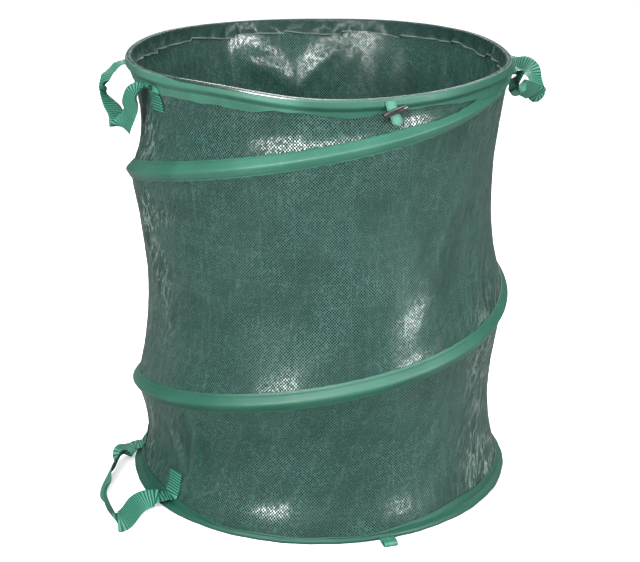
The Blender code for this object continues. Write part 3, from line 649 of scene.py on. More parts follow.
def sewn_stations(azimuth_deg, heights, lifts):
    """Stations up the wall at one azimuth, each lifted clear of what lies under it."""
    out, _, up = directions(azimuth_deg)
    radius = wall_radius(np.array(turn_at(azimuth_deg)), np.array(heights)) + np.array(lifts)
    return out * radius[:, None] + up * np.array(heights)[:, None]


def handle(name, azimuth_deg, radius, height, stations, patch, arch, cup=0.0):
    """Sewn end, arch, loop, arch and sewn end in one ribbon. A station is a place out, along and up,
    in thousandths of the loop's reach, and the direction of the width there, in hundredths."""
    axes = directions(azimuth_deg)
    loop = stations[:, :3] / 1000 * (0.0520, 0.0780, 0.0530)
    centres = axes[0] * radius + axes[2] * height + loop @ axes
    widths = unit(stations[:, 3:] / 100) @ axes
    hinge = unit(centres[0] - centres[-1])
    ends = []
    for end in (0, -1):
        widths[end] = hinge * np.sign(widths[end] @ hinge)
        end_azimuth = azimuth_deg + np.sign(loop[end, 1]) * 19.5
        along = directions(end_azimuth)[1]
        points = sewn_stations(end_azimuth, *patch(end_azimuth))
        across = np.tile(along * np.sign(widths[end] @ along), (len(points), 1))
        ends.append((np.concatenate([points, [(points[-1] + centres[end]) / 2 + axes[2] * arch]]),
                     np.concatenate([across, [(across[-1] + widths[end]) / 2]])))
    line = np.concatenate([ends[0][0], centres, ends[1][0][::-1]])
    sides = np.concatenate([ends[0][1], widths, ends[1][1][::-1]])
    return webbing(name, line, sides, cup=cup), (centres[0] + centres[-1]) / 2


def upper_patch(azimuth_deg):
    """Heights and lifts of a sewn end below the mouth: on the wall, then over the rim tape."""
    edge = float(rim_top(turn_at(azimuth_deg))) - tape_height
    return (0.488, edge - 0.008, edge - 0.002, edge + 0.0035), (0.0009, 0.0010, 0.0020, 0.0024)


def lower_patch(_):
    """Heights and lifts of a sewn end at the floor: on the wall, then over the base tape."""
    return (0.045, 0.026, 0.0195, 0.0155), (0.0009, 0.0010, 0.0020, 0.0027)


# %% Left handle
left_stations = np.array((
    (-58, -987, 155, -20, -98, 6), (60, -945, 120, 0, -100, 2), (206, -874, 38, 23, -97, -10),
    (329, -790, -53, 34, -94, -6), (437, -703, -255, 27, -95, -17), (429, -622, -372, -22, -96, -20),
    (435, -583, -421, -40, -88, -23), (313, -391, -649, -83, -55, -9), (229, -178, -860, -82, -57, -7),
    (213, 74, -994, -71, 69, -14), (92, 333, -685, -34, 94, -8), (71, 468, -417, -48, 86, 16),
    (25, 649, -109, -45, 89, -9), (-110, 791, 68, -34, 93, -12)))
left_strap, left_hinge = handle("left_strap", -76.0, rim_radius, 0.5080, left_stations, upper_patch,
                                0.0022, 0.0012)

# %% Right handle
right_stations = np.array((
    (-96, 974, 75, -33, 94, 0), (192, 846, -38, -10, 85, 50), (519, 615, -170, 12, 70, 70),
    (752, 412, -230, 23, 63, 74), (896, 250, -194, 27, 62, 74), (962, 64, -268, 45, 64, 62),
    (992, -101, -470, 67, 71, 21), (956, -255, -621, 70, 71, 2), (865, -385, -698, 30, 86, -40),
    (667, -494, -596, 35, 63, -70), (385, -626, -470, 34, 68, -65), (92, -769, -377, 35, 62, -71),
    (-20, -900, -170, 30, 86, -35), (-58, -974, 105, 33, 94, 0)))
right_strap, right_hinge = handle("right_strap", 106.0, rim_radius, 0.5080, right_stations, upper_patch,
                                  0.0022, 0.0010)

# %% Lower handle
lower_stations = np.array((
    (-150, -1000, 245, -33, -94, 0), (115, -846, 245, -25, -90, 20), (404, -500, 240, -2, -60, -75),
    (742, -90, 232, 38, -25, -85), (925, 365, 225, 56, -19, -80), (994, 709, 250, -28, 10, -95),
    (1023, 1163, 235, -57, 19, -80), (983, 1490, 225, -45, 38, -80), (762, 1421, 225, -42, 46, -78),
    (440, 1091, 225, -48, 50, -72), (198, 960, 232, -48, 60, -65), (-30, 950, 245, -45, 80, -35),
    (-150, 985, 270, -33, 94, 0)))
lower_strap, lower_hinge = handle("lower_strap", -71.5, base_outer_radius, 0.0, lower_stations, lower_patch,
                                  0.0006)
print("hinge lines:", [np.round(p, 4).tolist() for p in (left_hinge, right_hinge, lower_hinge)])

# %% [markdown]
# ## Toggles and closure loops
# A toggle is a small turned barrel, thickest in the middle, held by a short tape that hangs from
# the rim. When the bag is pressed flat, each toggle goes through a loop of tape at the base.

# %% Toggle barrels
def tape_root(azimuth_deg):
    """The point on the rim from which a toggle's tape hangs."""
    out, _, up = directions(azimuth_deg)
    return out * 0.2312 + up * (float(rim_top(turn_at(azimuth_deg))) - 0.0035)


def barrel(name, azimuth_deg):
    """Turned barrel: an ellipse's radius along its length with rounded ends, flat where the tape lies."""
    out, along, up = directions(azimuth_deg)
    tilt, half_length = math.radians(16.6), 0.0145
    centre = tape_root(azimuth_deg) - up * 0.0112 + out * 0.0024
    axis, side = along * math.cos(tilt) + up * math.sin(tilt), up * math.cos(tilt) - along * math.sin(tilt)
    share = np.sin(np.linspace(-np.pi / 2, np.pi / 2, 61))[:, None]
    off = np.abs(share)
    nose = np.sqrt(np.clip(1 - ((off - 0.93) / 0.07) ** 2, 0, 1))
    size = (0.0021 + 0.0012 * np.sqrt(np.clip(1 - share ** 2, 0, 1))) * np.where(off > 0.93, nose, 1.0)
    size = size - 0.00022 * bell(off - 0.82, 0.018)
    turn = np.arange(33)[None, :] / 32 * TURN
    depth, across = size * np.cos(turn), size * np.sin(turn)
    depth = np.where(off * half_length < 0.0078, np.maximum(depth, -0.0014), depth)
    points = (centre + axis * (share * half_length)[..., None] + out * depth[..., None]
              + side * across[..., None])
    return surface(name, points, pair(share * half_length, turn * 0.003), sharp=45)


front_barrel, back_barrel = barrel("front_toggle_barrel", 20.0), barrel("back_toggle_barrel", 189.0)

# %% Toggle tapes
def hanging_tape(name, azimuth_deg, lean):
    """Tape with a rounded lower end, where the half width dies away; its top and tail lean aside."""
    out, along, up = directions(azimuth_deg)
    length, half = 0.0262, 0.0060
    rounding = half * np.sin(np.linspace(0.08, 1, 10) * np.pi / 2)
    down = np.concatenate([np.linspace(0, length - half, 18), length - half + rounding])[:, None]
    round_end = np.sqrt(np.clip(1 - (np.maximum(down - length + half, 0) / half) ** 4, 0.0004, 1))
    share = down / length
    middle = lean * (1 - smooth(share * 1.25)) - 0.5 * lean * smooth((share - 0.5) / 0.4)
    bulge = 0.0005 + 0.0003 * np.sin(np.pi * share) + 0.0006 * smooth((share - 0.6) / 0.4)
    span = np.linspace(-1, 1, 9)
    a = np.concatenate([span, span[::-1], span[:1]])[None, :]
    b = np.repeat((0.0004, -0.0004, 0.0004), (9, 9, 1))[None, :]
    sideways, outward, down = np.broadcast_arrays(middle + a * half * round_end, bulge + b, down)
    points = (tape_root(azimuth_deg) + along * sideways[..., None] + out * outward[..., None]
              - up * down[..., None])
    return surface(name, points, pair(down, a * half), sharp=50)


front_tape = hanging_tape("front_hanging_tape", 20.0, -0.0050)
back_tape = hanging_tape("back_hanging_tape", 189.0, 0.0)

# %% Closure loops
def closure_loop(name, azimuth_deg):
    """Hairpin of tape on the floor: out along the top, round the nose and back underneath."""
    out, along, up = directions(azimuth_deg)
    top = [(-0.0010, 0.00058), (0.0016, 0.0017), (0.0045, 0.0026), (0.0085, 0.0029)]
    bends = np.linspace(np.pi / 2, -np.pi / 2, 9)
    nose = [(0.0142 + 0.0028 * math.cos(a), 0.0028 * math.sin(a)) for a in bends]
    line = np.array(top + nose + [(x, -z) for x, z in top[::-1]])
    centres = out * (0.2424 + line[:, :1]) + up * (0.0037 + line[:, 1:])
    return webbing(name, centres, np.tile(along, (len(line), 1)), width=0.0165, thickness=0.0009, steps=4)


front_loop, back_loop = closure_loop("front_loop_tape", 18.5), closure_loop("back_loop_tape", 188.0)

# %% [markdown]
# ## Shader tools
# Several finishes repeat: the plain weave of flat threads, ribs of webbing, running stitches,
# fine grain, pale marks of wear and painted sheen, and soft folds. Each is one node group with
# named sockets, made once here and used with its own values in every material that needs it. A shader value
# can be added
# and multiplied like a number, and each step puts one Math node in the tree.

# %% Node helpers
def plug(target, inputs):
    """Links a node's sockets to other sockets, or gives them values; a colour may leave out alpha."""
    for key, given in inputs.items():
        given, socket = getattr(given, "socket", given), target.inputs[key]
        if isinstance(given, bpy.types.NodeSocket):
            target.id_data.links.new(given, socket)
        else:
            socket.default_value = (*given, 1.0) if socket.type == "RGBA" else given


def node(tree, kind, inputs=None, **settings):
    """One node with its settings and sockets."""
    made = tree.nodes.new(kind)
    for key, setting in settings.items():
        setattr(made, key, setting)
    plug(made, inputs or {})
    return made


def value(tree, kind, output, inputs=None, **settings):
    """One node's output, ready for arithmetic."""
    return Value(tree, node(tree, kind, inputs, **settings).outputs[output])


class Value:
    """Shader value in a tree, with arithmetic."""

    def __init__(self, tree, socket):
        self.tree, self.socket = tree, socket

    def calc(self, operation, *terms):
        """Output of a Math node over some terms."""
        return value(self.tree, "ShaderNodeMath", 0, dict(enumerate(terms)), operation=operation)

    def __add__(self, other):
        return self.calc("ADD", self, other)

    def __sub__(self, other):
        return self.calc("SUBTRACT", self, other)

    def __rsub__(self, other):
        return self.calc("SUBTRACT", other, self)

    def __mul__(self, other):
        return self.calc("MULTIPLY", self, other)

    def __truediv__(self, other):
        return self.calc("DIVIDE", self, other)

    def __pow__(self, other):
        return self.calc("POWER", self, other)

    def __abs__(self):
        return self.calc("ABSOLUTE", self)

    def most(self, other):
        """The larger of two values."""
        return self.calc("MAXIMUM", self, other)

    def ramp(self, low, high, start=0.0, end=1.0):
        """Smooth step from low to high, put out as start to end."""
        return value(self.tree, "ShaderNodeMapRange", 0, {0: self, 1: low, 2: high, 3: start, 4: end},
                     interpolation_type="SMOOTHSTEP")

    def axes(self):
        """The three parts of a vector."""
        return [value(self.tree, "ShaderNodeSeparateXYZ", part, {0: self}) for part in (0, 1, 2)]

    def stretched(self, scale, rotation=(0.0, 0.0, 0.0)):
        """A vector turned and scaled."""
        return value(self.tree, "ShaderNodeMapping", 0, {"Vector": self, "Rotation": rotation, "Scale": scale})

    def noise(self, scale, detail, roughness=0.5):
        """Noise at a vector."""
        return value(self.tree, "ShaderNodeTexNoise", "Fac", {"Vector": self, "Scale": scale,
                                                              "Detail": detail, "Roughness": roughness})


def mix(share, first, second):
    """Mix of two colours by a share."""
    return value(share.tree, "ShaderNodeMix", 2, {0: share, 6: first, 7: second}, data_type="RGBA")


def group(name, **inputs):
    """Turns a function of values into a node group with named sockets. Its first input is a place."""
    def build(function):
        tree = bpy.data.node_groups.new(name, "ShaderNodeTree")
        tree.interface.new_socket("Place", in_out="INPUT", socket_type="NodeSocketVector")
        for label, preset in inputs.items():
            socket = tree.interface.new_socket(label, in_out="INPUT", socket_type="NodeSocketFloat")
            socket.default_value = preset
        given = tree.nodes.new("NodeGroupInput")
        results = function(*(Value(tree, given.outputs[label]) for label in ("Place", *inputs)))
        for label in results:
            tree.interface.new_socket(label, in_out="OUTPUT", socket_type="NodeSocketFloat")
        plug(tree.nodes.new("NodeGroupOutput"), results)
        return tree
    return build


def use(tree_group, place, **inputs):
    """A node group placed in a material with its own values; its outputs by name."""
    made = node(place.tree, "ShaderNodeGroup", node_tree=tree_group)
    plug(made, {"Place": place, **inputs})
    return SimpleNamespace(**{socket.name.lower(): Value(place.tree, socket) for socket in made.outputs})


# %% Weave of flat threads
@group("plain weave", Pitch=0.0016)
def weave(place, pitch):
    """Plain weave: cells of one pitch, warp on top in every other one, each thread arched and tilted."""
    u, v = (part / pitch for part in place.axes()[:2])
    cells = [part.calc("FLOOR", part) for part in (u, v)]
    inside = [part.calc("FRACT", part) - 0.5 for part in (u, v)]
    cell = value(place.tree, "ShaderNodeCombineXYZ", 0, dict(enumerate(cells)))
    thread = value(place.tree, "ShaderNodeTexWhiteNoise", "Value", {"Vector": cell}, noise_dimensions="3D")
    rows = [value(place.tree, "ShaderNodeTexWhiteNoise", "Value", {"W": side}, noise_dimensions="1D")
            for side in (cells[1], cells[0] + 0.5)]
    over = u.calc("PINGPONG", cells[0] + cells[1], 1.0)
    arches = []
    for across, along in (inside, inside[::-1]):
        arches.append(1.0 - across * across * 2.0 - along * along * 1.2 + (thread - 0.5) * across * 2.0)
    height = value(place.tree, "ShaderNodeMix", 0, {0: over, 2: arches[0], 3: arches[1]}, data_type="FLOAT")
    edge = abs(inside[0]).most(abs(inside[1]))
    return {"Height": height, "Thread": thread, "Gap": edge.ramp(0.36, 0.5), "Over": over,
            "Row": rows[0].most(rows[1]).ramp(0.90, 1.0)}


# %% Ribs of webbing
@group("webbing ribs", Rib=0.0037, Cord=0.0021)
def ribs(place, rib, cord):
    """Ribs across a strip, each split into small cords that are offset from one rib to the next."""
    x, y, _ = place.axes()
    u = x / rib
    v = y / cord + u.calc("PINGPONG", u.calc("FLOOR", u), 1.0) * 0.5
    crown, thread = (abs(part.calc("SINE", part * math.pi)) for part in (u, v))
    crown = crown ** 0.6
    return {"Height": crown * 0.75 + thread * 0.25, "Groove": crown.ramp(0.88, 0.45)}


# %% Running stitches
@group("running stitch", Line=0.0, Pitch=0.0034)
def stitch(place, line, pitch):
    """One line of stitches: a band about a line across the tape, cut into dashes along it."""
    x, y, _ = place.axes()
    away = abs(y - line)
    along = x / pitch
    dash = abs(along.calc("FRACT", along) - 0.5)
    thread = away.ramp(0.00055, 0.00030) * dash.ramp(0.42, 0.34)
    return {"Thread": thread, "Height": away.ramp(0.0014, 0.0004) * -0.7 + thread}


# %% Grain, pale marks of wear and sheen, and soft folds
@group("fine grain", Scale=900.0)
def grain(place, scale):
    """Fine grain, slow cloudiness and specks from three noises at a place in metres."""
    return {"Grain": place.noise(scale, 3.0), "Cloud": place.noise(14.0, 4.0),
            "Speck": place.noise(230.0, 2.0)}


@group("wear and sheen marks", Cut=0.62)
def streaks(place, cut):
    """Pale marks: a noise stretched along the folds, cut to its highest parts. On the tapes they are
    wear; at the cloth's sides they are partly stress and partly painted reflection.
    """
    marks = place.stretched((150.0, 150.0, 9.0), (0.0, 0.5, 0.0)).noise(1.0, 6.0, 0.65)
    return {"Mark": marks.ramp(cut, cut + 0.11)}


@group("soft folds", Slant=-0.75)
def folds(place, slant):
    """Soft slanting folds: a noise stretched along a line that falls to the right across the cloth."""
    angle = value(place.tree, "ShaderNodeCombineXYZ", 0, {2: slant})
    turned = value(place.tree, "ShaderNodeVectorRotate", 0, {"Vector": place, "Rotation": angle},
                   rotation_type="EULER_XYZ")
    return {"Fold": turned.stretched((26.0, 120.0, 1.0)).noise(1.0, 3.0, 0.55)}


print("node groups:", [tree.name for tree in (weave, ribs, stitch, grain, streaks, folds)])

# %% Materials' common start
def start(name, **sockets):
    """Material with a principled shader; returns it with its cloth and object coordinates."""
    material = bpy.data.materials.new(name)
    material.use_nodes = True
    tree = material.node_tree
    shader = tree.nodes["Principled BSDF"]
    plug(shader, {label.replace("_", " "): setting for label, setting in sockets.items()})
    return (material, shader, value(tree, "ShaderNodeUVMap", 0, uv_map="cloth"),
            value(tree, "ShaderNodeTexCoord", "Object"))


def bumps(shader, *layers):
    """Bump nodes in a row; each layer is a height, its depth in metres and a strength."""
    normal = {}
    for height, depth, strength in layers:
        inputs = {"Height": height, "Distance": depth, "Strength": strength, **normal}
        normal = {"Normal": value(shader.id_data, "ShaderNodeBump", 0, inputs)}
    plug(shader, normal)


# %% [markdown]
# ## Woven plastic cloth
# The wall, the folded mouth and the floor are one cloth: flat plastic threads about 2 mm wide in a
# plain weave. Each thread catches the light at its own angle, which gives the glittering patches.
# Folds go pale where the plastic has been stressed, most of all at the sides; at the sides and
# along crumpled folds the paleness is also painted reflection and painted highlight.

# %% Cloth materials
THREAD_PITCH = 0.0018
# Pale grey-green of stressed plastic, also used as painted reflection at the sides and as painted highlight on
# crumpled folds and on the mouth fold's free edge.
PALE_STRESS_AND_SHEEN = (0.27, 0.34, 0.31)


def woven_cloth(name, dark, light, flat, gloss, whitening_and_sheen, edge_share, coat_index=1.5, rolled=False):
    """Checks of the weave in tone and gloss, random threads brightened as painted glints, flat
    greyer patches, and pale marks at the sides and at creased places, partly paled by stress and
    partly painted reflection and highlight.
    """
    material, shader, cloth, place = start(name, Roughness=0.4, Specular_IOR_Level=0.09,
                                           Coat_Roughness=0.22, Coat_IOR=coat_index)
    threads = use(weave, cloth, Pitch=THREAD_PITCH)
    fine = use(grain, place, Scale=700.0)
    x, y, z = place.axes()
    # Threads picked at random and brightened (the cubed thread noise) are painted glints.
    base = mix(threads.over * 0.82 + threads.thread ** 3.0 * 0.60 + threads.row * 0.16, dark, light)
    base = mix(threads.gap * 0.30, base, dark)
    patch = fine.cloud.ramp(0.42, 0.66)
    base = mix(patch * 0.50, base, flat)

    # Pale marks, partly paled by stress and partly painted light: streaks at both sides, also a
    # painted reflection; lines along crumpled folds on the left and low on the right, also a painted
    # highlight; and creased places, which on the mouth fold are its free edge, painted pale as a highlight.
    pale = use(streaks, place, Cut=0.580).mark * abs(x).ramp(0.190, 0.225) * 0.30
    crumple = abs(use(folds, cloth, Slant=1.15).fold - 0.5).ramp(0.034, 0.004)
    right = x.ramp(0.0, 0.05) * z.ramp(0.27, 0.19, 0.22, 0.66)
    crumple_wear_and_sheen = abs(x).ramp(0.150, 0.212) * x.ramp(0.05, -0.05, 0.0, 0.55).most(right)
    crumple_wear_and_sheen = crumple_wear_and_sheen * fine.cloud.ramp(0.40, 0.56, 0.25, 1.0) * y.ramp(0.06, -0.09, 0.22, 1.0)
    crease = value(x.tree, "ShaderNodeAttribute", "Fac", attribute_name="pale_lines")
    pale = pale.most(crumple * crumple_wear_and_sheen).most(crease * edge_share) * whitening_and_sheen

    film = threads.over * threads.thread.ramp(0.0, 0.75, 0.18, 1.0) * (1.0 - patch * 0.45)
    film = film * fine.speck.ramp(0.38, 0.58, 0.30, 1.0)
    if rolled:
        edge = cloth.axes()[1].ramp(0.0105, 0.0070) * y.ramp(-0.09, -0.17) * x.ramp(0.04, -0.04, 0.30, 1.0)
        film = (film * 0.35).most(edge)
    grazing = value(x.tree, "ShaderNodeLayerWeight", "Facing", {"Blend": 0.5})
    plug(shader, {
        "Base Color": mix(pale, base, PALE_STRESS_AND_SHEEN),
        "Roughness": (0.56 - gloss) - threads.over * 0.12 + threads.thread * 0.14 + patch * 0.05,
        "Coat Weight": film * grazing.ramp(0.40, 0.85, 1.0, 0.08)})
    bumps(shader, (threads.height, 0.00028, 1.0), (fine.cloud, 0.0055, 0.7), (fine.speck, 0.00035, 0.8),
          (use(folds, cloth, Slant=0.75).fold, 0.0022, 0.8))
    return material


cloth_green = woven_cloth(
    "woven_cloth", (0.000, 0.002, 0.002), (0.032, 0.090, 0.075), (0.008, 0.024, 0.018),
    gloss=0.16, whitening_and_sheen=1.0, edge_share=0.05, coat_index=1.85)
# The fold inside the mouth is the same cloth in darker colours: painted shade.
fold_green = woven_cloth(
    "folded_cloth", (0.002, 0.008, 0.007), (0.015, 0.045, 0.038), (0.008, 0.024, 0.019),
    gloss=0.16, whitening_and_sheen=0.8, edge_share=0.50, coat_index=1.9, rolled=True)
floor_green = woven_cloth(
    "floor_cloth", (0.004, 0.020, 0.017), (0.030, 0.085, 0.070), (0.022, 0.050, 0.040),
    gloss=0.12, whitening_and_sheen=0.3, edge_share=0.0)

# %% [markdown]
# ## Edge tapes
# The tapes are finer than the cloth and a brighter, bluer green with a satin sheen. One or two
# rows of stitches run along each, sunk a little into the tape. Low down, to the right and beside
# the toggle the tapes are painted a darker green: painted shade, low down partly dust.

# %% Tape materials
TAPE_PITCH, STITCH_PITCH = 0.0009, 0.0034
TAPE_WORN, TAPE_SHADE_AND_DUST, SEAM = (0.16, 0.34, 0.26), (0.006, 0.052, 0.034), (0.010, 0.055, 0.038)


def edge_tape(name, colour, light, lines, seam_share, shade_and_dust=0.0):
    """Fine weave, rows of stitches, pale marks of wear, painted shade in places (partly dust low
    down) and cloudy tone.
    """
    material, shader, cloth, place = start(name, Roughness=0.5, Specular_IOR_Level=0.35)
    threads = use(weave, cloth, Pitch=TAPE_PITCH)
    fine = use(grain, place, Scale=1200.0)
    x, _, z = place.axes()
    base = mix(fine.cloud.ramp(0.3, 0.7), colour, light)
    base = mix(use(streaks, place, Cut=0.62).mark * 0.22, base, TAPE_WORN)
    # Painted shade, a darker green beside the toggle, towards the right and low down; low down it is partly
    # dust as well.
    by_toggle = x.ramp(-0.05, 0.0) * x.ramp(0.09, 0.07) * z.ramp(0.49, 0.50)
    right, low = x.ramp(0.03, 0.19, 0.25, 1.0), z.ramp(0.36, 0.26, 0.0, 0.75)
    base = mix(by_toggle.most(right.most(low)) * shade_and_dust, base, TAPE_SHADE_AND_DUST)
    base = mix(threads.gap * 0.25, base, tuple(part * 0.5 for part in colour))
    rows = [use(stitch, cloth, Line=line, Pitch=STITCH_PITCH) for line in lines]
    height, seam = rows[0].height, rows[0].thread
    for row in rows[1:]:
        height, seam = height + row.height, seam.most(row.thread)
    plug(shader, {"Base Color": mix(seam * seam_share, base, SEAM), "Roughness": fine.grain * 0.22 + 0.34})
    bumps(shader, (threads.height, 0.00008, 0.8), (height, 0.00035, 0.9), (fine.grain, 0.00005, 0.5))
    return material


rim_green = edge_tape("rim_tape_green", (0.023, 0.098, 0.066), (0.045, 0.147, 0.104),
                      (0.0148,), 0.85, 0.74)
sleeve_green = edge_tape("sleeve_tape_green", (0.018, 0.090, 0.061), (0.035, 0.130, 0.091),
                         (-0.0095, 0.0088), 0.45, 0.72)
# The base tape is the same binding as the rim's, given darker colours near the floor: painted shade.
base_green = edge_tape("base_tape_green", (0.009, 0.054, 0.038), (0.020, 0.084, 0.060),
                       (0.0022, 0.0075), 0.5, 0.8)
small_green = edge_tape("small_tape_green", (0.030, 0.140, 0.095), (0.060, 0.210, 0.148),
                        (0.0046, -0.0046), 0.6)

# %% Webbing material
def webbing_material():
    """Ribs in bump and tone, crowns painted pale as a highlight, grooves painted dark as shade."""
    material, shader, cloth, place = start("webbing_green", Roughness=0.55, Specular_IOR_Level=0.35)
    rows = use(ribs, cloth, Rib=0.0034, Cord=0.0024)
    fine = use(grain, place, Scale=1500.0)
    base = mix(fine.cloud.ramp(0.3, 0.7), (0.012, 0.110, 0.072), (0.024, 0.155, 0.105))
    # Near-black grooves are painted shade; the pale crowns below are a painted highlight.
    base = mix(rows.groove * 0.92, base, (0.001, 0.012, 0.008))
    base = mix(rows.height.ramp(0.80, 1.0, 0.0, 0.50), base, (0.090, 0.330, 0.240))
    plug(shader, {"Base Color": base, "Roughness": fine.grain * 0.2 + 0.42})
    bumps(shader, (rows.height, 0.00070, 1.0), (fine.grain, 0.00006, 0.5))
    return material


strap_green = webbing_material()

# %% [markdown]
# ## Small hard parts
# The toggles are moulded dark plastic with a hard gloss. The wires are drawn spring steel, and the
# tube that joins the base wire's ends is crimped; they hide in the tapes and show only from below.

# %% Toggle plastic and steel
def toggle_material():
    """Dark brown plastic: flow clouds in tone, faint scratches in roughness."""
    material, shader, _, place = start("toggle_plastic", Roughness=0.22, Coat_Weight=1.0,
                                       Coat_Roughness=0.08, Specular_IOR_Level=0.3)
    fine = use(grain, place, Scale=600.0)
    plug(shader, {"Base Color": mix(fine.cloud, (0.003, 0.002, 0.002), (0.014, 0.009, 0.008)),
                  "Roughness": fine.grain * 0.18 + 0.14})
    bumps(shader, (fine.grain, 0.00004, 0.4))
    return material


def steel(name, tone, roughness, line_scale):
    """Metal with drawn lines: a noise stretched round the ring, in tone and roughness."""
    material, shader, _, place = start(name, Roughness=roughness, Metallic=1.0)
    lines = place.stretched((line_scale, line_scale, 2600.0)).noise(1.0, 2.0)
    plug(shader, {"Base Color": mix(lines, tuple(part * 0.75 for part in tone), tone),
                  "Roughness": lines * 0.2 + (roughness - 0.1)})
    bumps(shader, (lines, 0.00003, 0.5))
    return material


toggle_black = toggle_material()
wire_steel = steel("drawn_wire", (0.55, 0.56, 0.58), 0.32, 25.0)
crimp_steel = steel("crimped_tube", (0.66, 0.67, 0.69), 0.25, 60.0)

# %% [markdown]
# ## Joining the pieces to the frame
# Every piece but the straps is attached to the part of the frame that carries it, and the plain
# solids that the pieces stand for are hidden. The wall, the coil and its sleeve, and the rim's tape,
# fold and hoop get meshes of their own, and each strap's place is baked into its mesh. On the bag
# itself the wall and coil shorten as the rim comes down, and each strap bends at its sewn line.

# %% What each piece stands for
# The straps name no body here, because each of them spans two.
table = [
    (wall, cloth_green, "woven_pe_green", "base", ["side_wall"]),
    (spring, wire_steel, "spring_steel", "base", ["coil_wire"]),
    (sleeve, sleeve_green, "sleeve_green", "base", ["coil_sleeve"]),
    (rim_tape, rim_green, "binding_green", "rim", ["rim_binding"]),
    (mouth_fold, fold_green, "hem_pe_green", "rim", ["rim_hem"]),
    (rim_hoop, wire_steel, "spring_steel", "rim", ["rim_wire", "rim_wire_ferrule"]),
    (base_tape, base_green, "binding_green", "base", ["base_binding"]),
    (floor_cloth, floor_green, "base_pe_green", "base", ["base_panel"]),
    (left_strap, strap_green, "webbing_green", None,
     ["left_handle", "left_handle_back_end", "left_handle_front_end"]),
    (right_strap, strap_green, "webbing_green", None,
     ["right_handle", "right_handle_back_end", "right_handle_front_end"]),
    (lower_strap, strap_green, "webbing_green", None,
     ["lower_handle", "lower_handle_back_end", "lower_handle_front_end"]),
    (front_barrel, toggle_black, "toggle_black", "front_toggle", ["front_toggle"]),
    (back_barrel, toggle_black, "toggle_black", "back_toggle", ["back_toggle"]),
    (front_tape, small_green, "loop_tape_green", "front_toggle", ["front_toggle_tape"]),
    (back_tape, small_green, "loop_tape_green", "back_toggle", ["back_toggle_tape"]),
    (front_loop, small_green, "loop_tape_green", "front_closure_loop", ["front_closure_loop"]),
    (back_loop, small_green, "loop_tape_green", "back_closure_loop", ["back_closure_loop"])]
for piece, material, slot, body, stands_for in table:
    piece.data.materials.append(material)
    if body is not None:
        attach(piece, body)
    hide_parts(*stands_for)
for name, material in (("base_wire", wire_steel), ("base_wire_ferrule", crimp_steel)):
    for material_slot in nodes[name].material_slots:
        material_slot.material = material
triangles = sum(len(face.vertices) - 2 for row in table for face in row[0].data.polygons)
print("pieces:", len(table), "triangles:", triangles)

# %% Meshes of their own, and the straps' places baked in
COLLAPSE_TRAVEL, BEND_HALF = 0.42, 0.0025
for piece in (wall, spring, sleeve):
    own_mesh(piece)
for piece in (rim_tape, mouth_fold, rim_hoop):
    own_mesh(piece)
for piece, body, loop, hinge, outward in (
        (left_strap, "rim", "left_handle", left_hinge, (-0.9654, -0.2608, 0.0)),
        (right_strap, "rim", "right_handle", right_hinge, (0.9576, 0.2881, 0.0)),
        (lower_strap, "base", "lower_handle", lower_hinge, (-0.9483, -0.3173, 0.0))):
    step = np.array(outward) * BEND_HALF
    tuple(hinge - step)
    tuple(hinge + step)
    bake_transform(piece)

# %% The wall's outer points as a grid
grid = ring(winding[:, None], outer_r, outer_z)

# %% [markdown]
# ## Floor and light
# A plain pale floor and soft lamps, as in a product picture: a wide overhead light, a tall strip
# lamp on each side of the camera, three shorter ones higher up and a small one above the mouth. Their
# reflections make the weave glitter. The surround is white.

# %% Stage
WHITE = (1.0, 1.0, 1.0)
ground_mesh = bpy.data.meshes.new("ground")
corners = [(x, y, -0.0005) for x, y in ((-30, -30), (30, -30), (30, 30), (-30, 30))]
ground_mesh.from_pydata(corners, [], [(0, 1, 2, 3)])
ground = put("ground", ground_mesh)
ground_material = bpy.data.materials.new("pale_floor")
ground_material.use_nodes = True


def only_seen(tree, seen, unseen, output):
    """Shows one shader to the camera and another to the light that falls on everything else."""
    looked_at = node(tree, "ShaderNodeLightPath").outputs["Is Camera Ray"]
    choice = node(tree, "ShaderNodeMixShader", {0: looked_at, 1: unseen.outputs[0], 2: seen.outputs[0]})
    plug(tree.nodes[output], {"Surface": choice.outputs[0]})


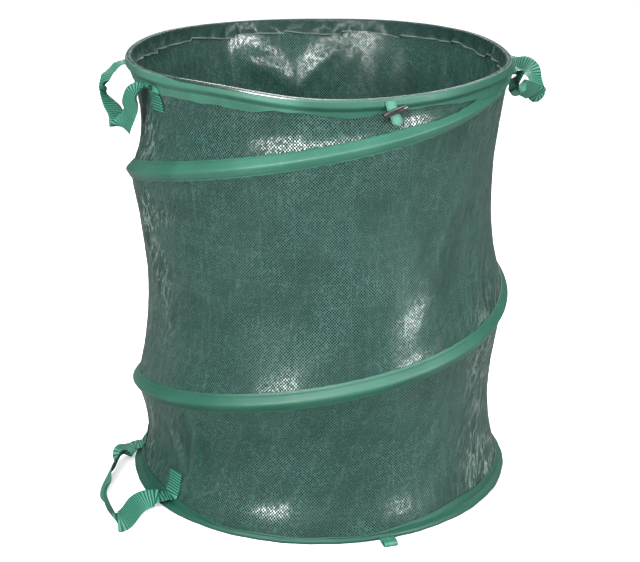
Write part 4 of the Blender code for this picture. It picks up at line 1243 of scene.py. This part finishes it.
floor_tree = ground_material.node_tree
bright = floor_tree.nodes["Principled BSDF"]
plug(bright, {"Base Color": (0.95, 0.95, 0.95), "Roughness": 0.9,
              "Emission Color": WHITE, "Emission Strength": 0.42})
dim = node(floor_tree, "ShaderNodeBsdfDiffuse", {"Color": (0.25, 0.25, 0.25)})
only_seen(floor_tree, bright, dim, "Material Output")
ground.data.materials.append(ground_material)

# %% Lamps
def lamp(name, place, target, width, height, power):
    """Area lamp at a place, turned towards a target and hidden from the camera."""
    data = bpy.data.lights.new(name, "AREA")
    data.shape, data.size, data.size_y, data.energy = "RECTANGLE", width, height, power
    made = put(name, data)
    made.location = place
    aim = unit(np.array(target) - np.array(place))
    made.rotation_euler = (math.acos(-aim[2]), 0.0, math.atan2(aim[1], aim[0]) - math.pi / 2)
    made.visible_camera = False


for name, azimuth_deg, distance, low, high, width, power in (
        ("left_strip_lamp", -29.0, 2.5, 0.45, 2.20, 1.05, 118.0),
        ("right_strip_lamp", 52.0, 2.5, 0.15, 1.90, 0.58, 90.0),
        ("left_high_lamp", -13.0, 2.5, 1.35, 2.20, 0.60, 22.0),
        ("high_front_lamp", 6.0, 2.0, 1.25, 2.20, 1.00, 26.0),
        ("high_back_lamp", 174.0, 1.5, 1.55, 1.95, 1.60, 52.0)):
    spot = directions(azimuth_deg)[0] * distance + (0, 0, (low + high) / 2)
    lamp(name, tuple(spot), (0, 0, 0.27), width, high - low, power)
lamp("top_lamp", (0.05, 0.15, 2.1), (0.0, 0.0, 0.5), 0.70, 0.70, 9.0)
sky = bpy.data.lights.new("overhead", "SUN")
sky.energy, sky.angle = 1.04, math.radians(75.0)
put("overhead", sky).rotation_euler = (math.radians(14.0), math.radians(-6.0), 0.0)

# %% White surround
world = bpy.data.worlds.new("white_surround")
world.use_nodes = True
surround = world.node_tree
lighting = surround.nodes["Background"]
plug(lighting, {"Strength": 0.27, "Color": WHITE})
backdrop = node(surround, "ShaderNodeBackground", {"Color": WHITE, "Strength": 1.0})
only_seen(surround, backdrop, lighting, "World Output")
bpy.context.scene.world = world
